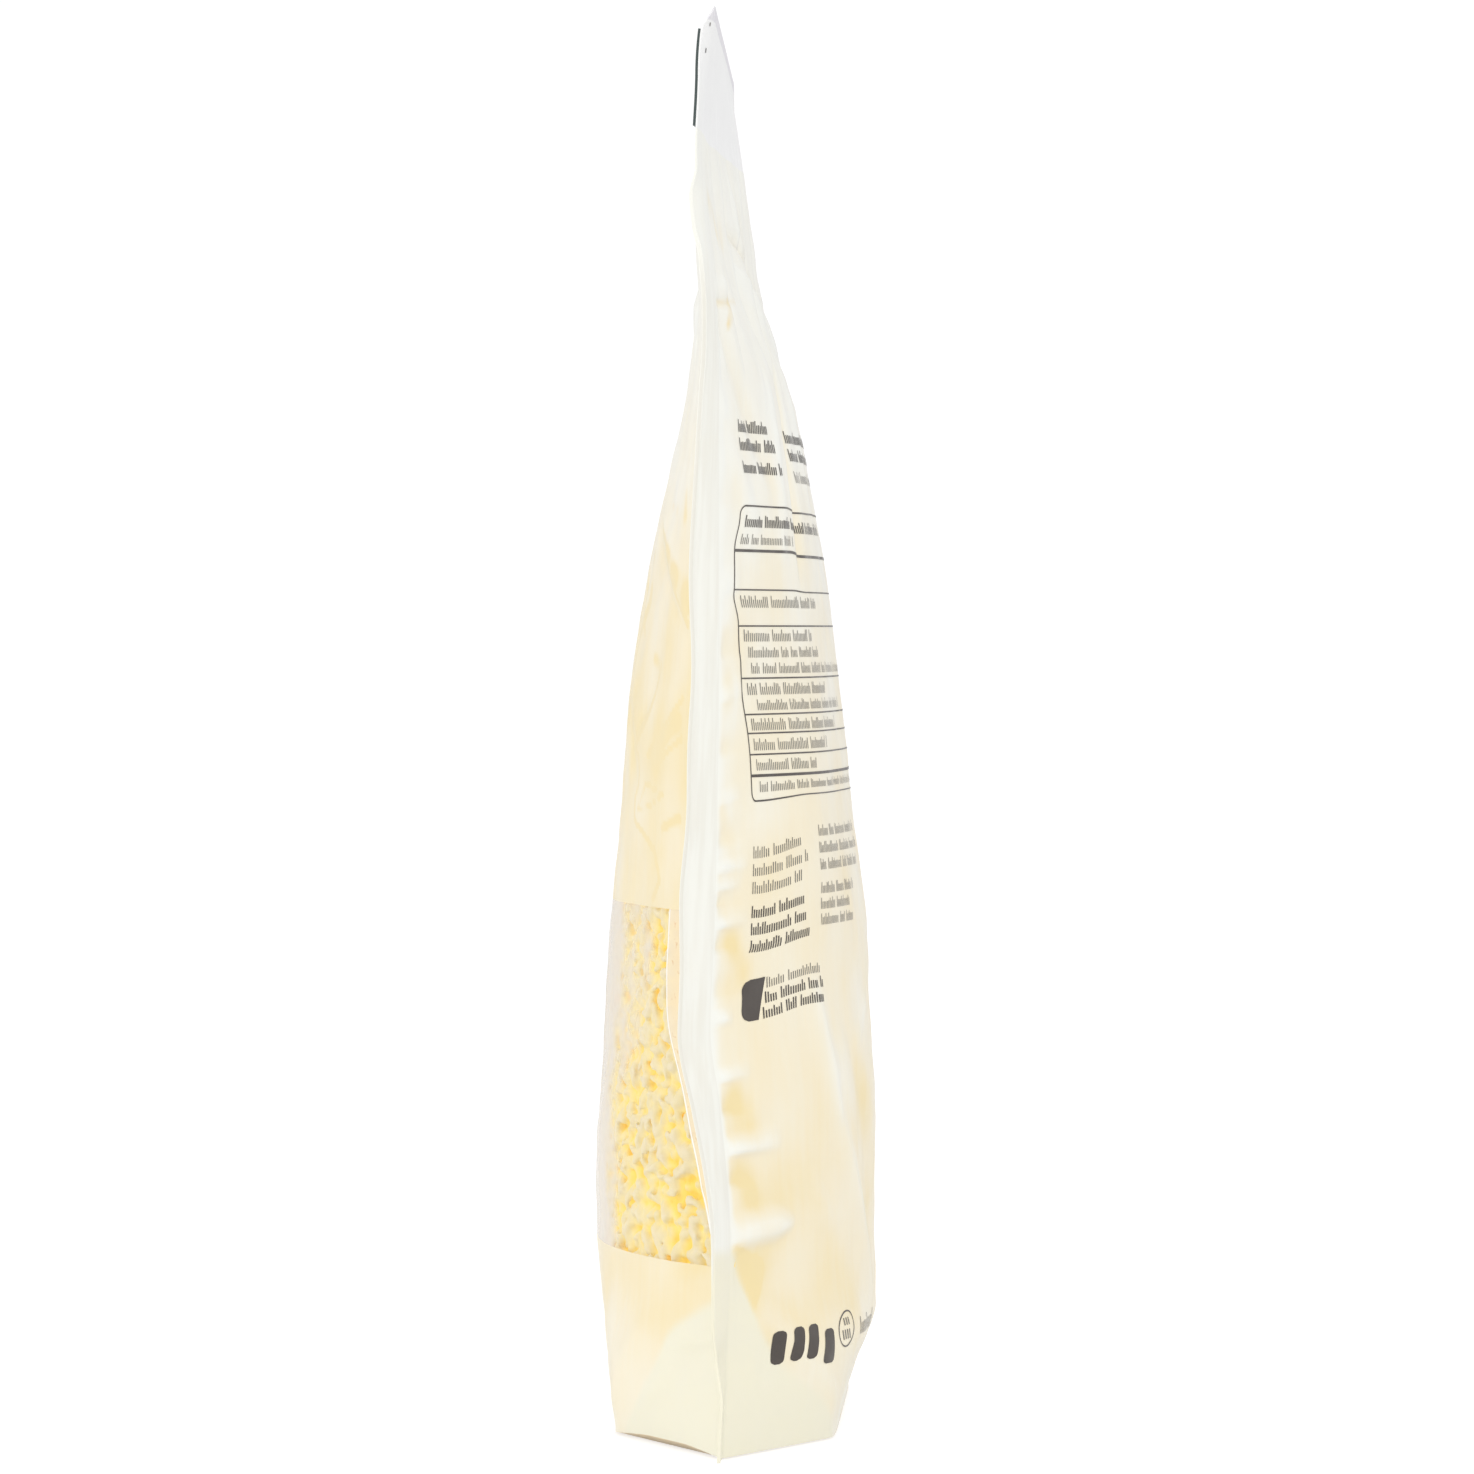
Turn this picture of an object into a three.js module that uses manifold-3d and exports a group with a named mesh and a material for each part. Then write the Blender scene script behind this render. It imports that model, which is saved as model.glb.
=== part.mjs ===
// A filled stand-up pouch of grated cheese, with its gusset open and its top sealed flat.
// Millimetres, +Z up. The front of the pouch faces -Y, and its width runs along X. The origin is on the
// ground, under the middle of the pouch.
import * as THREE from "three";
import { mergeVertices } from "three/addons/utils/BufferGeometryUtils.js";
import Module from "manifold-3d";

const wasm = await Module();
wasm.setup();

// ---------------------------------------------------------------- driving dimensions

const POUCH_HEIGHT = 250;
const FLAT_WIDTH = 165; // the empty pouch laid flat, outside the side seals
const SEAL_WIDTH = 7;
const SEAL_THICKNESS = 0.8;
const EDGE_SWELL = 0.35; // how much thicker the seal is at its cut edge, as a share
const GUSSET_HEIGHT = 38; // from the ground to where the folded gusset meets the side seals
const CORNER_RADIUS = 6.5; // of the two top corners
const FOOT_RADIUS = 1.5; // of the two bottom corners
const FACET_SLOPE = 0.75; // how steeply the bottom corner facets leave the side seals

const WINDOW_BOTTOM = 35;
const WINDOW_TOP = 95;
const WINDOW_HALF_WIDTH = 65;
const WINDOW_DEPTH = 3.6; // of the recess that holds the cheese
const BEYOND_FILM = 4; // how far the tool that cuts the recess stands out of the panel
const FIT_GAP = 0.35;

const LABEL_BOTTOM = 229;
const LABEL_TOP = 245.5;
const LABEL_THICKNESS = 0.5;
const LABEL_GAP = 0.1;
const LABEL_END_MARGIN = 0.9; // from the label's ends to the edges of the pouch
const LABEL_CORNER = 3;

// Heights against distances from the middle plane. Each list holds only the heights where the outline turns.
const FRONT_BELLY = [
  [0, -19.6], [6, -21.6], [18, -23.8], [32, -25.6], [46, -25.7], [68, -24.2], [101, -21.6],
  [134, -18.4], [156, -15.4], [178, -10.6], [190, -7.9], [204, -7.3], [222, -7.3], [240, -4.0], [250, -2.9],
];
const BACK_BELLY = [
  [0, 19.6], [9, 21.8], [19, 25.5], [57, 25.2], [84, 24.0], [112, 21.2], [139, 17.9],
  [167, 13.6], [188, 9.2], [204, 4.4], [222, 1.6], [238, -1.4], [250, -2.1],
];
const SEAL_LINE = [[0, 1.2], [38, 1.9], [71, -1.3], [113, -0.3], [182, 0.5], [228, -1.7], [250, -2.2]];
// How far the free edge of a side seal is bent towards the front.
const SEAL_BEND = [[0, 0.2], [36, 1.6], [60, 4.2], [95, 4.8], [148, 3.9], [182, 2.9], [215, 2.0], [240, 3.0]];
// The header leans: towards the back at +X and towards the front at -X, by this much at the pouch's edges.
// Its side seal stays flat at -X.
const HEADER_LEAN = 2.4;
const LEAN_FROM = 196;
const LEAN_FULL = 242;
const FLATTENED = 0.9; // the share of the bend that the header's seal loses at -X

// Rows and columns of the panels' mesh.
const ROW_HEIGHTS = [
  0, 5, 10, 15, 19, 23, 28, 33, 38, 43, 49, 55, 62, 70, 78, 86, 94, 103, 112, 121, 130, 139, 148, 157, 166,
  174, 181, 188, 194, 200, 206, 212, 218, 224, 229, 234, 239, 242, 244.5, 246.4, 248, 249.3, 250,
];
const PANEL_COLUMNS = 24;
const END_CROWDING = 0.45;
const WINDOW_COLUMNS = 22;
const WINDOW_ROWS = 9;
const HOLLOW_COLUMNS = 8;
const HOLLOW_ROWS = 16;
const LABEL_COLUMNS = 28;
const LABEL_ROWS = 8;

// ---------------------------------------------------------------- small functions

// A smooth curve through the knots of a list of [height, value].
function along(knots, z) {
  const last = knots.length - 1;
  if (z <= knots[0][0]) return knots[0][1];
  if (z >= knots[last][0]) return knots[last][1];
  const i = knots.findIndex(([height]) => height > z) - 1;
  const slope = (a, b) => (knots[b][1] - knots[a][1]) / (knots[b][0] - knots[a][0]);
  // The slope at a knot is the gentler of its two sides, so that the curve never overshoots.
  const tangent = (k) => {
    if (k === 0 || k === last) return 0;
    const before = slope(k - 1, k);
    const after = slope(k, k + 1);
    return before * after <= 0 ? 0 : (2 * before * after) / (before + after);
  };
  const span = knots[i + 1][0] - knots[i][0];
  const t = (z - knots[i][0]) / span;
  const [h00, h10, h01, h11] = [
    (1 + 2 * t) * (1 - t) ** 2, t * (1 - t) ** 2, t * t * (3 - 2 * t), t * t * (t - 1),
  ];
  return h00 * knots[i][1] + h10 * span * tangent(i) + h01 * knots[i + 1][1] + h11 * span * tangent(i + 1);
}

// The lesser of two values, with a round of this size where they cross.
function softLesser(a, b, round) {
  const h = Math.max(round - Math.abs(a - b), 0) / round;
  return Math.min(a, b) - (h * h * round) / 4;
}

// How much a round corner of this radius takes off an edge, at this distance into the corner.
const roundedOff = (radius, into) => radius - Math.sqrt(Math.max(0, radius ** 2 - into ** 2));

const bump = (t) => (Math.abs(t) < 1 ? (1 - t * t) ** 2 : 0);

// ---------------------------------------------------------------- the form of the film

const frontBelly = (z) => along(FRONT_BELLY, z);
const backBelly = (z) => along(BACK_BELLY, z);
const sealLine = (z) => along(SEAL_LINE, z);

const headerShare = (z) => THREE.MathUtils.smoothstep(z, LEAN_FROM, LEAN_FULL);
const lean = (x, z) => (HEADER_LEAN * x * headerShare(z)) / (FLAT_WIDTH / 2);

// Half the distance between the two side seals' inner lines. The film keeps its width, so it comes in as
// the pouch fills: a panel is a shallow arc of that width.
function halfChord(z) {
  const width = FLAT_WIDTH - 2 * SEAL_WIDTH;
  const rise = (backBelly(z) - frontBelly(z)) / 2;
  return (width + Math.sqrt(width ** 2 - (32 / 3) * rise ** 2)) / 4;
}

// Where the side seal ends: its reach beyond the inner line, and how far it is bent to the front. The end
// is 1 for the seal at +X and -1 for the one at -X.
function sealReach(z, end) {
  const bend = along(SEAL_BEND, z) * (end > 0 ? 1 : 1 - FLATTENED * headerShare(z));
  const reach = Math.sqrt(SEAL_WIDTH ** 2 - bend ** 2);
  const rise = Math.max(0, z - (POUCH_HEIGHT - CORNER_RADIUS));
  const fall = Math.max(0, FOOT_RADIUS - z);
  const kept = 1 - (roundedOff(CORNER_RADIUS, rise) + roundedOff(FOOT_RADIUS, fall)) / SEAL_WIDTH;
  return { reach: reach * kept, bend: bend * kept };
}

// Folds of the film, as [side, x, z, half length, half width, tilt, depth]. Tilt is from upright, in
// degrees, and a positive depth stands out of the panel.
const FOLDS = [
  ["back", 34, 78, 46, 9, 12, 1.4],
  ["back", 20, 66, 44, 8, 14, -1.1],
  ["back", 30, 190, 26, 8, -38, 1.6],
  ["back", 22, 204, 24, 8, -34, -1.5],
  ["back", -34, 182, 30, 9, 30, 1.3],
  ["back", -22, 60, 40, 9, -10, 1.1],
  ["front", 30, 150, 44, 9, 8, -1.2],
  ["front", 12, 128, 38, 8, -14, 1.1],
  ["front", -28, 158, 36, 9, 18, -1.2],
  ["front", 36, 206, 20, 8, 20, 1.2],
  ["front", -30, 204, 22, 8, -24, 1.3],
];
// Short puckers that run in from the side seals, at these heights.
const PUCKERS = [52, 66, 79, 92, 104, 118, 134, 152, 170];
const PUCKER_REACH = 20;
const PUCKER_HALF_HEIGHT = 6;
const PUCKER_DEPTH = 0.9;

function relief(side, x, z, inner) {
  let out = 0;
  for (const [where, fx, fz, length, width, tilt, depth] of FOLDS) {
    if (where !== side) continue;
    const turn = THREE.MathUtils.degToRad(tilt);
    const [dx, dz] = [x - fx, z - fz];
    const lengthwise = dx * Math.sin(turn) + dz * Math.cos(turn);
    const across = dx * Math.cos(turn) - dz * Math.sin(turn);
    out += depth * bump(lengthwise / length) * bump(across / width);
  }
  const inwards = inner - Math.abs(x);
  for (const height of PUCKERS)
    out -= PUCKER_DEPTH * bump(inwards / PUCKER_REACH - 0.35) * bump((z - height) / PUCKER_HALF_HEIGHT);
  return out * bump(Math.max(0, (z - 190) / 45)) * Math.min(1, z / 20);
}

// The distance of a panel from the middle plane at x and z.
function panelY(side, x, z) {
  const inner = halfChord(z);
  const share = Math.min(1, Math.abs(x) / inner);
  const belly = side === "front" ? frontBelly(z) : backBelly(z);
  const outward = side === "front" ? -1 : 1;
  const seam = sealLine(z) + (outward * SEAL_THICKNESS) / 2;
  const rise = Math.max((belly - seam) * outward, 0);
  // Low down the belly is blunt, and the corner facets cut its ends off.
  const low = Math.max(0, 1 - z / GUSSET_HEIGHT);
  const blunt = 1 - share ** (2 + 5 * low ** 3);
  const facet = ((1 - share) * inner * FACET_SLOPE) / Math.max(rise, 1e-3);
  const form = softLesser(blunt, facet, 0.06 * low);
  const shaped = low > 0 ? form : blunt;
  const folds = relief(side, x, z, inner) * Math.min(1, (1 - share) * 6);
  return seam + outward * (rise * shaped + folds) + lean(x, z);
}

// ---------------------------------------------------------------- closed meshes

const MERGE_WITHIN = 1e-3;

// A closed mesh as a solid, with its faces turned out.
function toSolid(geometry) {
  const merged = mergeVertices(geometry, MERGE_WITHIN);
  const make = (triVerts) =>
    new wasm.Manifold(
      new wasm.Mesh({ numProp: 3, vertProperties: merged.attributes.position.array, triVerts }),
    );
  const triangles = new Uint32Array(merged.index.array);
  const solid = make(triangles);
  if (solid.volume() > 0) return solid;
  for (let i = 0; i < triangles.length; i += 3)
    [triangles[i + 1], triangles[i + 2]] = [triangles[i + 2], triangles[i + 1]];
  return make(triangles);
}

function toGeometry(solid) {
  const { vertProperties, triVerts, numProp } = solid.getMesh();
  const positions = [];
  for (let i = 0; i < vertProperties.length; i += numProp)
    positions.push(...vertProperties.subarray(i, i + 3));
  const geometry = new THREE.BufferGeometry();
  geometry.setAttribute("position", new THREE.Float32BufferAttribute(positions, 3));
  geometry.setIndex([...triVerts]);
  geometry.computeVertexNormals();
  return geometry;
}

// The solid between two faces that share a grid of columns and rows. low and high give a point for a
// share across and a share up, each from 0 to 1.
function between(columns, rows, low, high) {
  const points = [];
  const faces = [];
  const at = (face, i, j) => (face * (rows + 1) + j) * (columns + 1) + i;
  for (const face of [low, high])
    for (let j = 0; j <= rows; j++)
      for (let i = 0; i <= columns; i++) points.push(face(i / columns, j / rows));
  const quad = (a, b, c, d) => faces.push([a, b, c], [a, c, d]);
  for (let j = 0; j < rows; j++)
    for (let i = 0; i < columns; i++) {
      quad(at(0, i, j), at(0, i, j + 1), at(0, i + 1, j + 1), at(0, i + 1, j));
      quad(at(1, i, j), at(1, i + 1, j), at(1, i + 1, j + 1), at(1, i, j + 1));
    }
  for (let i = 0; i < columns; i++) {
    quad(at(0, i, 0), at(0, i + 1, 0), at(1, i + 1, 0), at(1, i, 0));
    quad(at(0, i + 1, rows), at(0, i, rows), at(1, i, rows), at(1, i + 1, rows));
  }
  for (let j = 0; j < rows; j++) {
    quad(at(0, 0, j + 1), at(0, 0, j), at(1, 0, j), at(1, 0, j + 1));
    quad(at(0, columns, j), at(0, columns, j + 1), at(1, columns, j + 1), at(1, columns, j));
  }
  const geometry = new THREE.BufferGeometry();
  geometry.setAttribute("position", new THREE.Float32BufferAttribute(points.flat(), 3));
  geometry.setIndex(faces.flat());
  return toSolid(geometry);
}

// ---------------------------------------------------------------- the pouch

// One row of a panel, from the free edge of one side seal to that of the other.
function panelRow(side, z) {
  const inner = halfChord(z);
  const outward = side === "front" ? -1 : 1;
  const half = (SEAL_THICKNESS / 2) * outward;
  const sealPoint = (end, share) => {
    const { reach, bend } = sealReach(z, end);
    const x = end * (inner + reach * share);
    return [x, sealLine(z) + lean(x, z) - bend * share + half * (1 + EDGE_SWELL * share), z];
  };
  const row = [sealPoint(1, 1), sealPoint(1, 0.5)];
  for (let i = 0; i <= PANEL_COLUMNS; i++) {
    // The columns are closer together near the side seals.
    const even = 1 - (2 * i) / PANEL_COLUMNS;
    const x = inner * THREE.MathUtils.lerp(even, Math.cos((Math.PI * i) / PANEL_COLUMNS), END_CROWDING);
    row.push([x, panelY(side, x, z), z]);
  }
  row.push(sealPoint(-1, 0.5), sealPoint(-1, 1));
  return row;
}

function pouchBody() {
  const rows = ROW_HEIGHTS.map((z) => [panelRow("front", z), panelRow("back", z)]);
  const wide = rows[0][0].length;
  const panel = (which) => (across, up) =>
    rows[Math.round(up * (rows.length - 1))][which][Math.round(across * (wide - 1))];
  return between(wide - 1, rows.length - 1, panel(0), panel(1));
}

// The hollow under the pouch, where the gusset arches up between the panels: shallow in the middle, and a
// steep tent towards each side seal.
const RIM_HEIGHT = 5;
const RIM_THICKNESS = 1.1;
const HOLLOW_HALF_LENGTH = 65;
const HOLLOW_MIDDLE = 9;
const HOLLOW_END = 33;
const BELOW_GROUND = 3;

function gussetHollow() {
  const place = (across, lengthwise) => {
    const x = HOLLOW_HALF_LENGTH * (1 - 2 * lengthwise);
    const front = panelY("front", x, 0) + RIM_THICKNESS;
    const back = panelY("back", x, 0) - RIM_THICKNESS;
    return [x, front + (back - front) * across];
  };
  // Across the pouch the roof is a round arch in the middle and a sharp fold at the ends.
  const roof = (across, x) => {
    const endwards = Math.abs(x) / HOLLOW_HALF_LENGTH;
    const apex = HOLLOW_MIDDLE + (HOLLOW_END - HOLLOW_MIDDLE) * endwards ** 2.4;
    const sideways = Math.abs(2 * across - 1);
    return RIM_HEIGHT + (apex - RIM_HEIGHT) * (1 - sideways ** (1.8 - 0.7 * endwards));
  };
  return between(
    HOLLOW_COLUMNS, HOLLOW_ROWS,
    (across, lengthwise) => [...place(across, lengthwise), -BELOW_GROUND],
    (across, lengthwise) => {
      const [x, y] = place(across, lengthwise);
      return [x, y, roof(across, x)];
    },
  );
}

// How deep the window's recess is at x and z. It thins out towards the side seals, as the pouch does.
function recessDepth(x, z) {
  return Math.min(WINDOW_DEPTH, 0.55 * (sealLine(z) - panelY("front", x, z)));
}

const windowX = (across, inset) => (WINDOW_HALF_WIDTH - inset) * (1 - 2 * across);
const windowZ = (up, inset) => WINDOW_BOTTOM + inset + (WINDOW_TOP - WINDOW_BOTTOM - 2 * inset) * up;

// The solid between two depths behind the panel, over the window less an inset all round. The depths are
// functions of how deep the recess is there.
function behindWindow(inset, nearDepth, farDepth) {
  const face = (depthOf) => (across, up) => {
    const [x, z] = [windowX(across, inset), windowZ(up, inset)];
    return [x, panelY("front", x, z) + depthOf(recessDepth(x, z)), z];
  };
  return between(WINDOW_COLUMNS, WINDOW_ROWS, face(nearDepth), face(farDepth));
}

const windowRecess = () => behindWindow(0, () => -BEYOND_FILM, (depth) => depth);

function pouch() {
  return toGeometry(pouchBody().subtract(gussetHollow()).subtract(windowRecess()));
}

// ---------------------------------------------------------------- the cheese behind the window

const CRUMB_PITCH = 9.6;
const CRUMB_THICK = 2.7;
const CRUMB_SHORTEST = 6;
const CRUMB_LONGEST = 13;
const FILM_BEHIND = 0.35; // how far behind the film's outer face the foremost crumbs are
const CORE_BEHIND = 1.5;
const CORE_SHARE = 0.4; // of the recess's depth, where that is less

// A run of numbers from 0 to 1 that is the same each time.
function seededNumbers(seed) {
  let state = seed;
  return () => {
    state = (state * 1664525 + 1013904223) % 4294967296;
    return state / 4294967296;
  };
}

const recessFloor = (depth) => depth - FIT_GAP;
const cheeseCore = () =>
  behindWindow(FIT_GAP, (depth) => Math.min(CORE_BEHIND, depth * CORE_SHARE), recessFloor);
// The crumbs stay inside this, clear of the recess's walls and of the film's outer face.
const cheeseRoom = () => behindWindow(FIT_GAP, () => FILM_BEHIND * 0.6, recessFloor);

// One crumb: a short shred with few sides, lying along the window at some turn.
function crumb(x, z, random) {
  const length = CRUMB_SHORTEST + (CRUMB_LONGEST - CRUMB_SHORTEST) * random() ** 1.6;
  const thick = CRUMB_THICK * (0.8 + 0.4 * random());
  const geometry = new THREE.BoxGeometry(length, thick * 0.8, thick);
  geometry.deleteAttribute("normal");
  geometry.deleteAttribute("uv");
  geometry.rotateX(random() * Math.PI);
  geometry.rotateY(random() * Math.PI);
  geometry.rotateX((random() - 0.5) * 0.5);
  geometry.translate(x, panelY("front", x, z) + FILM_BEHIND + thick / 2, z);
  return toSolid(geometry);
}

function cheese() {
  const random = seededNumbers(20);
  const jitter = () => (random() - 0.5) * 0.5;
  const crumbs = [];
  const [wide, high] = [WINDOW_HALF_WIDTH * 2, WINDOW_TOP - WINDOW_BOTTOM];
  const columns = Math.floor(wide / CRUMB_PITCH);
  const rows = Math.floor(high / (CRUMB_PITCH * 0.85));
  for (let j = 0; j < rows; j++)
    for (let i = 0; i < columns; i++) {
      const stagger = (j % 2) * 0.4 - 0.2;
      const x = windowX((i + 0.5 + stagger + jitter()) / columns, CRUMB_LONGEST / 2);
      const z = windowZ((j + 0.5 + jitter()) / rows, CRUMB_LONGEST / 3);
      if (recessDepth(x, z) > CRUMB_THICK + FIT_GAP) crumbs.push(crumb(x, z, random));
    }
  const heap = cheeseCore().add(crumbs.reduce((all, one) => all.add(one)));
  return toGeometry(heap.intersect(cheeseRoom()));
}

// ---------------------------------------------------------------- the label on the front of the header

// The front face of the header at x, over the panel and the side seals.
function headerFront(x, z) {
  const inner = halfChord(z);
  const beyond = Math.abs(x) - inner;
  if (beyond <= 0) return panelY("front", x, z);
  const { reach, bend } = sealReach(z, Math.sign(x));
  const share = beyond / reach;
  return sealLine(z) + lean(x, z) - bend * share - (SEAL_THICKNESS / 2) * (1 + EDGE_SWELL * share);
}

function frontLabel() {
  const labelPoint = (across, up, lift) => {
    const z = LABEL_BOTTOM + (LABEL_TOP - LABEL_BOTTOM) * up;
    const edge = halfChord(z) + sealReach(z, 1).reach - LABEL_END_MARGIN;
    const intoCorner = Math.max(0, LABEL_CORNER - Math.min(z - LABEL_BOTTOM, LABEL_TOP - z));
    const x = (edge - roundedOff(LABEL_CORNER, intoCorner)) * (1 - 2 * across);
    return [x, headerFront(x, z) - lift, z];
  };
  return toGeometry(
    between(
      LABEL_COLUMNS, LABEL_ROWS,
      (a, u) => labelPoint(a, u, LABEL_GAP + LABEL_THICKNESS),
      (a, u) => labelPoint(a, u, LABEL_GAP),
    ),
  );
}

// ---------------------------------------------------------------- the scene

const film = new THREE.MeshStandardMaterial({ color: "#f8efd2", roughness: 0.32, metalness: 0 });
const gratedCheese = new THREE.MeshStandardMaterial({ color: "#f6dc94", roughness: 0.6, metalness: 0 });
const darkPrint = new THREE.MeshStandardMaterial({ color: "#3b4646", roughness: 0.4, metalness: 0 });

function part(name, geometry, material) {
  const mesh = new THREE.Mesh(geometry, material);
  mesh.name = name;
  return mesh;
}

const bag = new THREE.Group();
bag.add(part("pouch", pouch(), film));
bag.add(part("grated_cheese", cheese(), gratedCheese));
bag.add(part("front_label", frontLabel(), darkPrint));

export default bag;
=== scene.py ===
"""A filled stand-up pouch of grated cheese: printed film with folds and puckers, a clear window with the
cheese behind it, a folded base, greeked print on the back and a dark band on the header.

Lengths in this file are millimetres, and become metres when a mesh is made. The front of the pouch faces -Y,
its width runs along X, and it stands on z = 0.
"""

import math
import random

import bpy
import numpy as np
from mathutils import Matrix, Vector


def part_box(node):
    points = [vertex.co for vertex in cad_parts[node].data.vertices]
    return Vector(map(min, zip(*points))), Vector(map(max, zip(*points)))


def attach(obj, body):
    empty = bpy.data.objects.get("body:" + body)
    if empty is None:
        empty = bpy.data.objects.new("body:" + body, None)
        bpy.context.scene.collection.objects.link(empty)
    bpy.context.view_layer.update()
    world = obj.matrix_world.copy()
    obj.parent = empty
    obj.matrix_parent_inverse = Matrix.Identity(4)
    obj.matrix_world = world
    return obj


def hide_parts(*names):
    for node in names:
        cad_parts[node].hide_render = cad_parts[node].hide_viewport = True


bl_info = {
    "name": "Filled stand-up pouch",
    "version": (1, 0, 0),
    "blender": (4, 5, 0),
    "location": "View3D > Sidebar > Pouch",
    "description": "Adds a filled stand-up pouch of grated cheese, and a plain stage for it",
    "category": "Add Mesh",
}

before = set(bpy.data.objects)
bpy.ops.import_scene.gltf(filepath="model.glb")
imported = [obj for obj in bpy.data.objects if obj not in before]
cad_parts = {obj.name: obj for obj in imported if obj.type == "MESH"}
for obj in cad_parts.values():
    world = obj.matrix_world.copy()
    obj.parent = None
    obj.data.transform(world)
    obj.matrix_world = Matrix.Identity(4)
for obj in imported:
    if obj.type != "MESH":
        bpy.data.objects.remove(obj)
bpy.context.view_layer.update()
MM = 0.001
POUCH_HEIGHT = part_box("pouch")[1].z / MM
BAND_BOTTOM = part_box("front_label")[0].z / MM
BAND_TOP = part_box("front_label")[1].z / MM

# ---- driving dimensions

FLAT_WIDTH = 165.0  # the empty pouch laid flat, outside the side seals
SEAL_WIDTH = 7.0
SEAL_HALF = 0.4  # half the thickness of a side seal
HEADER_HALF = 0.15  # and of the flat header
GUSSET_HEIGHT = 38.0  # from the ground to where the folded base meets the side seals
FACET_SLOPE = 0.75  # of the flat corners of the base, seen from above
FACET_FLARE = 0.15  # and how much less it is at the ground
WINDOW_BOTTOM = 32.4
WINDOW_TOP = 94.2
PRINT_TOP = 227.4  # above this the back of the header is bare
PRINT_TOP_ASIDE = 1.2  # and this much higher at the side seals
TOP_STRIP = 2.6  # the greyer strip along the top edge
HEADER_LEAN = 2.4
LEAN_FROM = 196.0
LEAN_FULL = 242.0
CURL_FROM = 72.0  # the near end of the header curls to the front from here
CORNER_CUT = 4.2  # height of the slanting cut at the top corners

# Heights against distances from the middle plane, only where the outline turns.
FRONT_BELLY = (
    (0, -20.1), (6, -21.4), (18, -23.7), (32, -25.6), (46, -25.8), (68, -24.3), (101, -22.1), (118, -20.8),
    (134, -19.1), (156, -15.5), (167, -12.9), (178, -10.2), (191, -7.5), (202, -5.8), (212, -4.9),
    (222, -3.7), (230, -3.9), (240, -3.2), (250, -2.6),
)
BACK_BELLY = (
    (0, 19.5), (9, 21.8), (19, 25.3), (57, 25.2), (84, 23.6), (112, 20.9), (139, 17.8), (153, 16.1),
    (167, 13.8), (188, 9), (196, 6), (204, 3.5), (222, 1.4), (238, -0.7), (250, -2.2),
)
SEAL_LINE = (
    (0, 0.9), (14, 1.4), (38, 1.9), (60, 0.2), (74, -1.5), (95, -0.6), (148, 0.2), (182, 0.2), (205, 0),
    (228, -1.7), (250, -2.2),
)
# How far the free edge of a side seal is bent towards the front.
SEAL_BEND = (
    (0, 0.2), (9, 0.1), (17, 1.4), (24, 2.3), (38, 2.5), (60, 4), (74, 4.8), (95, 5.1), (113, 4.5),
    (148, 4), (182, 2.5), (192, 1.7), (203, 1), (216, 0.3), (240, 0.2),
)
# How far the near half of the neck is drawn to the front, and then how far its free edge curls.
NECK_DRAW = ((188, 0), (198, 0.4), (205, 1.1), (214, 2.1), (228, 2.5), (238, 1.7), (245, 0.6), (250, 0))
HEADER_CURL = (
    (196, 0), (207, 0.4), (212, 1.1), (217, 1.3), (222, 0.3), (229, 0.55), (237, 0.95), (245, 1.35),
    (250, 1.2),
)
# How far the lower edge of the front panel stands off the ground, against the distance from the middle.
FRONT_LIFT = ((36, 0.05), (43, 0.6), (50, 1.0), (60, 1.0), (66, 0.6), (72, 0.1))
# Heights against the distance from the middle of the crease where the film leaves the cheese, beside the
# window's ends.
WINDOW_CREASE = (
    (32, 66.2), (36.5, 65.5), (48.5, 63), (58, 61.2), (66.5, 59.8), (75, 57.8), (85, 56.8), (95, 56.5),
)


def along(knots, z):
    """The smooth curve through knots of (height, value) that never overshoots them."""
    heights, values = np.array(knots, float).T
    slopes = np.diff(values) / np.diff(heights)
    before, after = slopes[:-1], slopes[1:]
    tangents = np.zeros(len(values))
    same = before * after > 0
    tangents[1:-1][same] = (2 * before * after / (before + after + 1e-12))[same]
    z = np.clip(z, heights[0], heights[-1])
    i = np.clip(np.searchsorted(heights, z, side="right") - 1, 0, len(values) - 2)
    span = heights[i + 1] - heights[i]
    t = (z - heights[i]) / span
    return (
        (1 + 2 * t) * (1 - t) ** 2 * values[i]
        + t * (1 - t) ** 2 * span * tangents[i]
        + t * t * (3 - 2 * t) * values[i + 1]
        + t * t * (t - 1) * span * tangents[i + 1]
    )


def ramp(value, start, end):
    """0 at start and 1 at end, with a smooth rise between."""
    t = np.clip((value - start) / (end - start), 0, 1)
    return t * t * (3 - 2 * t)


def bump(t):
    return np.where(np.abs(t) < 1, (1 - t * t) ** 2, 0.0)


def crest(t):
    return np.where(np.abs(t) < 1, (1 - np.abs(t)) ** 2, 0.0)


def corner_cut(z):
    """The share of the seal's width that the slanting top corners take off."""
    return np.clip((z - POUCH_HEIGHT + CORNER_CUT) / CORNER_CUT, 0, 1) ** 1.4


def lean(x, z):
    """How far the neck and header are turned, drawn and curled out of the middle plane."""
    turned = HEADER_LEAN * x * ramp(z, LEAN_FROM, LEAN_FULL) / (FLAT_WIDTH / 2)
    drawn = along(NECK_DRAW, z) * ramp(x, -20, 60)
    into_curl = np.maximum(0, x - CURL_FROM) / (FLAT_WIDTH / 2 - CURL_FROM)
    return turned - drawn - along(HEADER_CURL, z) * into_curl**2


def half_chord(z):
    """Half the distance between the two side seals' inner lines."""
    width = FLAT_WIDTH - 2 * SEAL_WIDTH
    rise = (along(BACK_BELLY, z) - along(FRONT_BELLY, z)) / 2
    return (width + np.sqrt(width**2 - 32 / 3 * rise**2)) / 4


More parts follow.
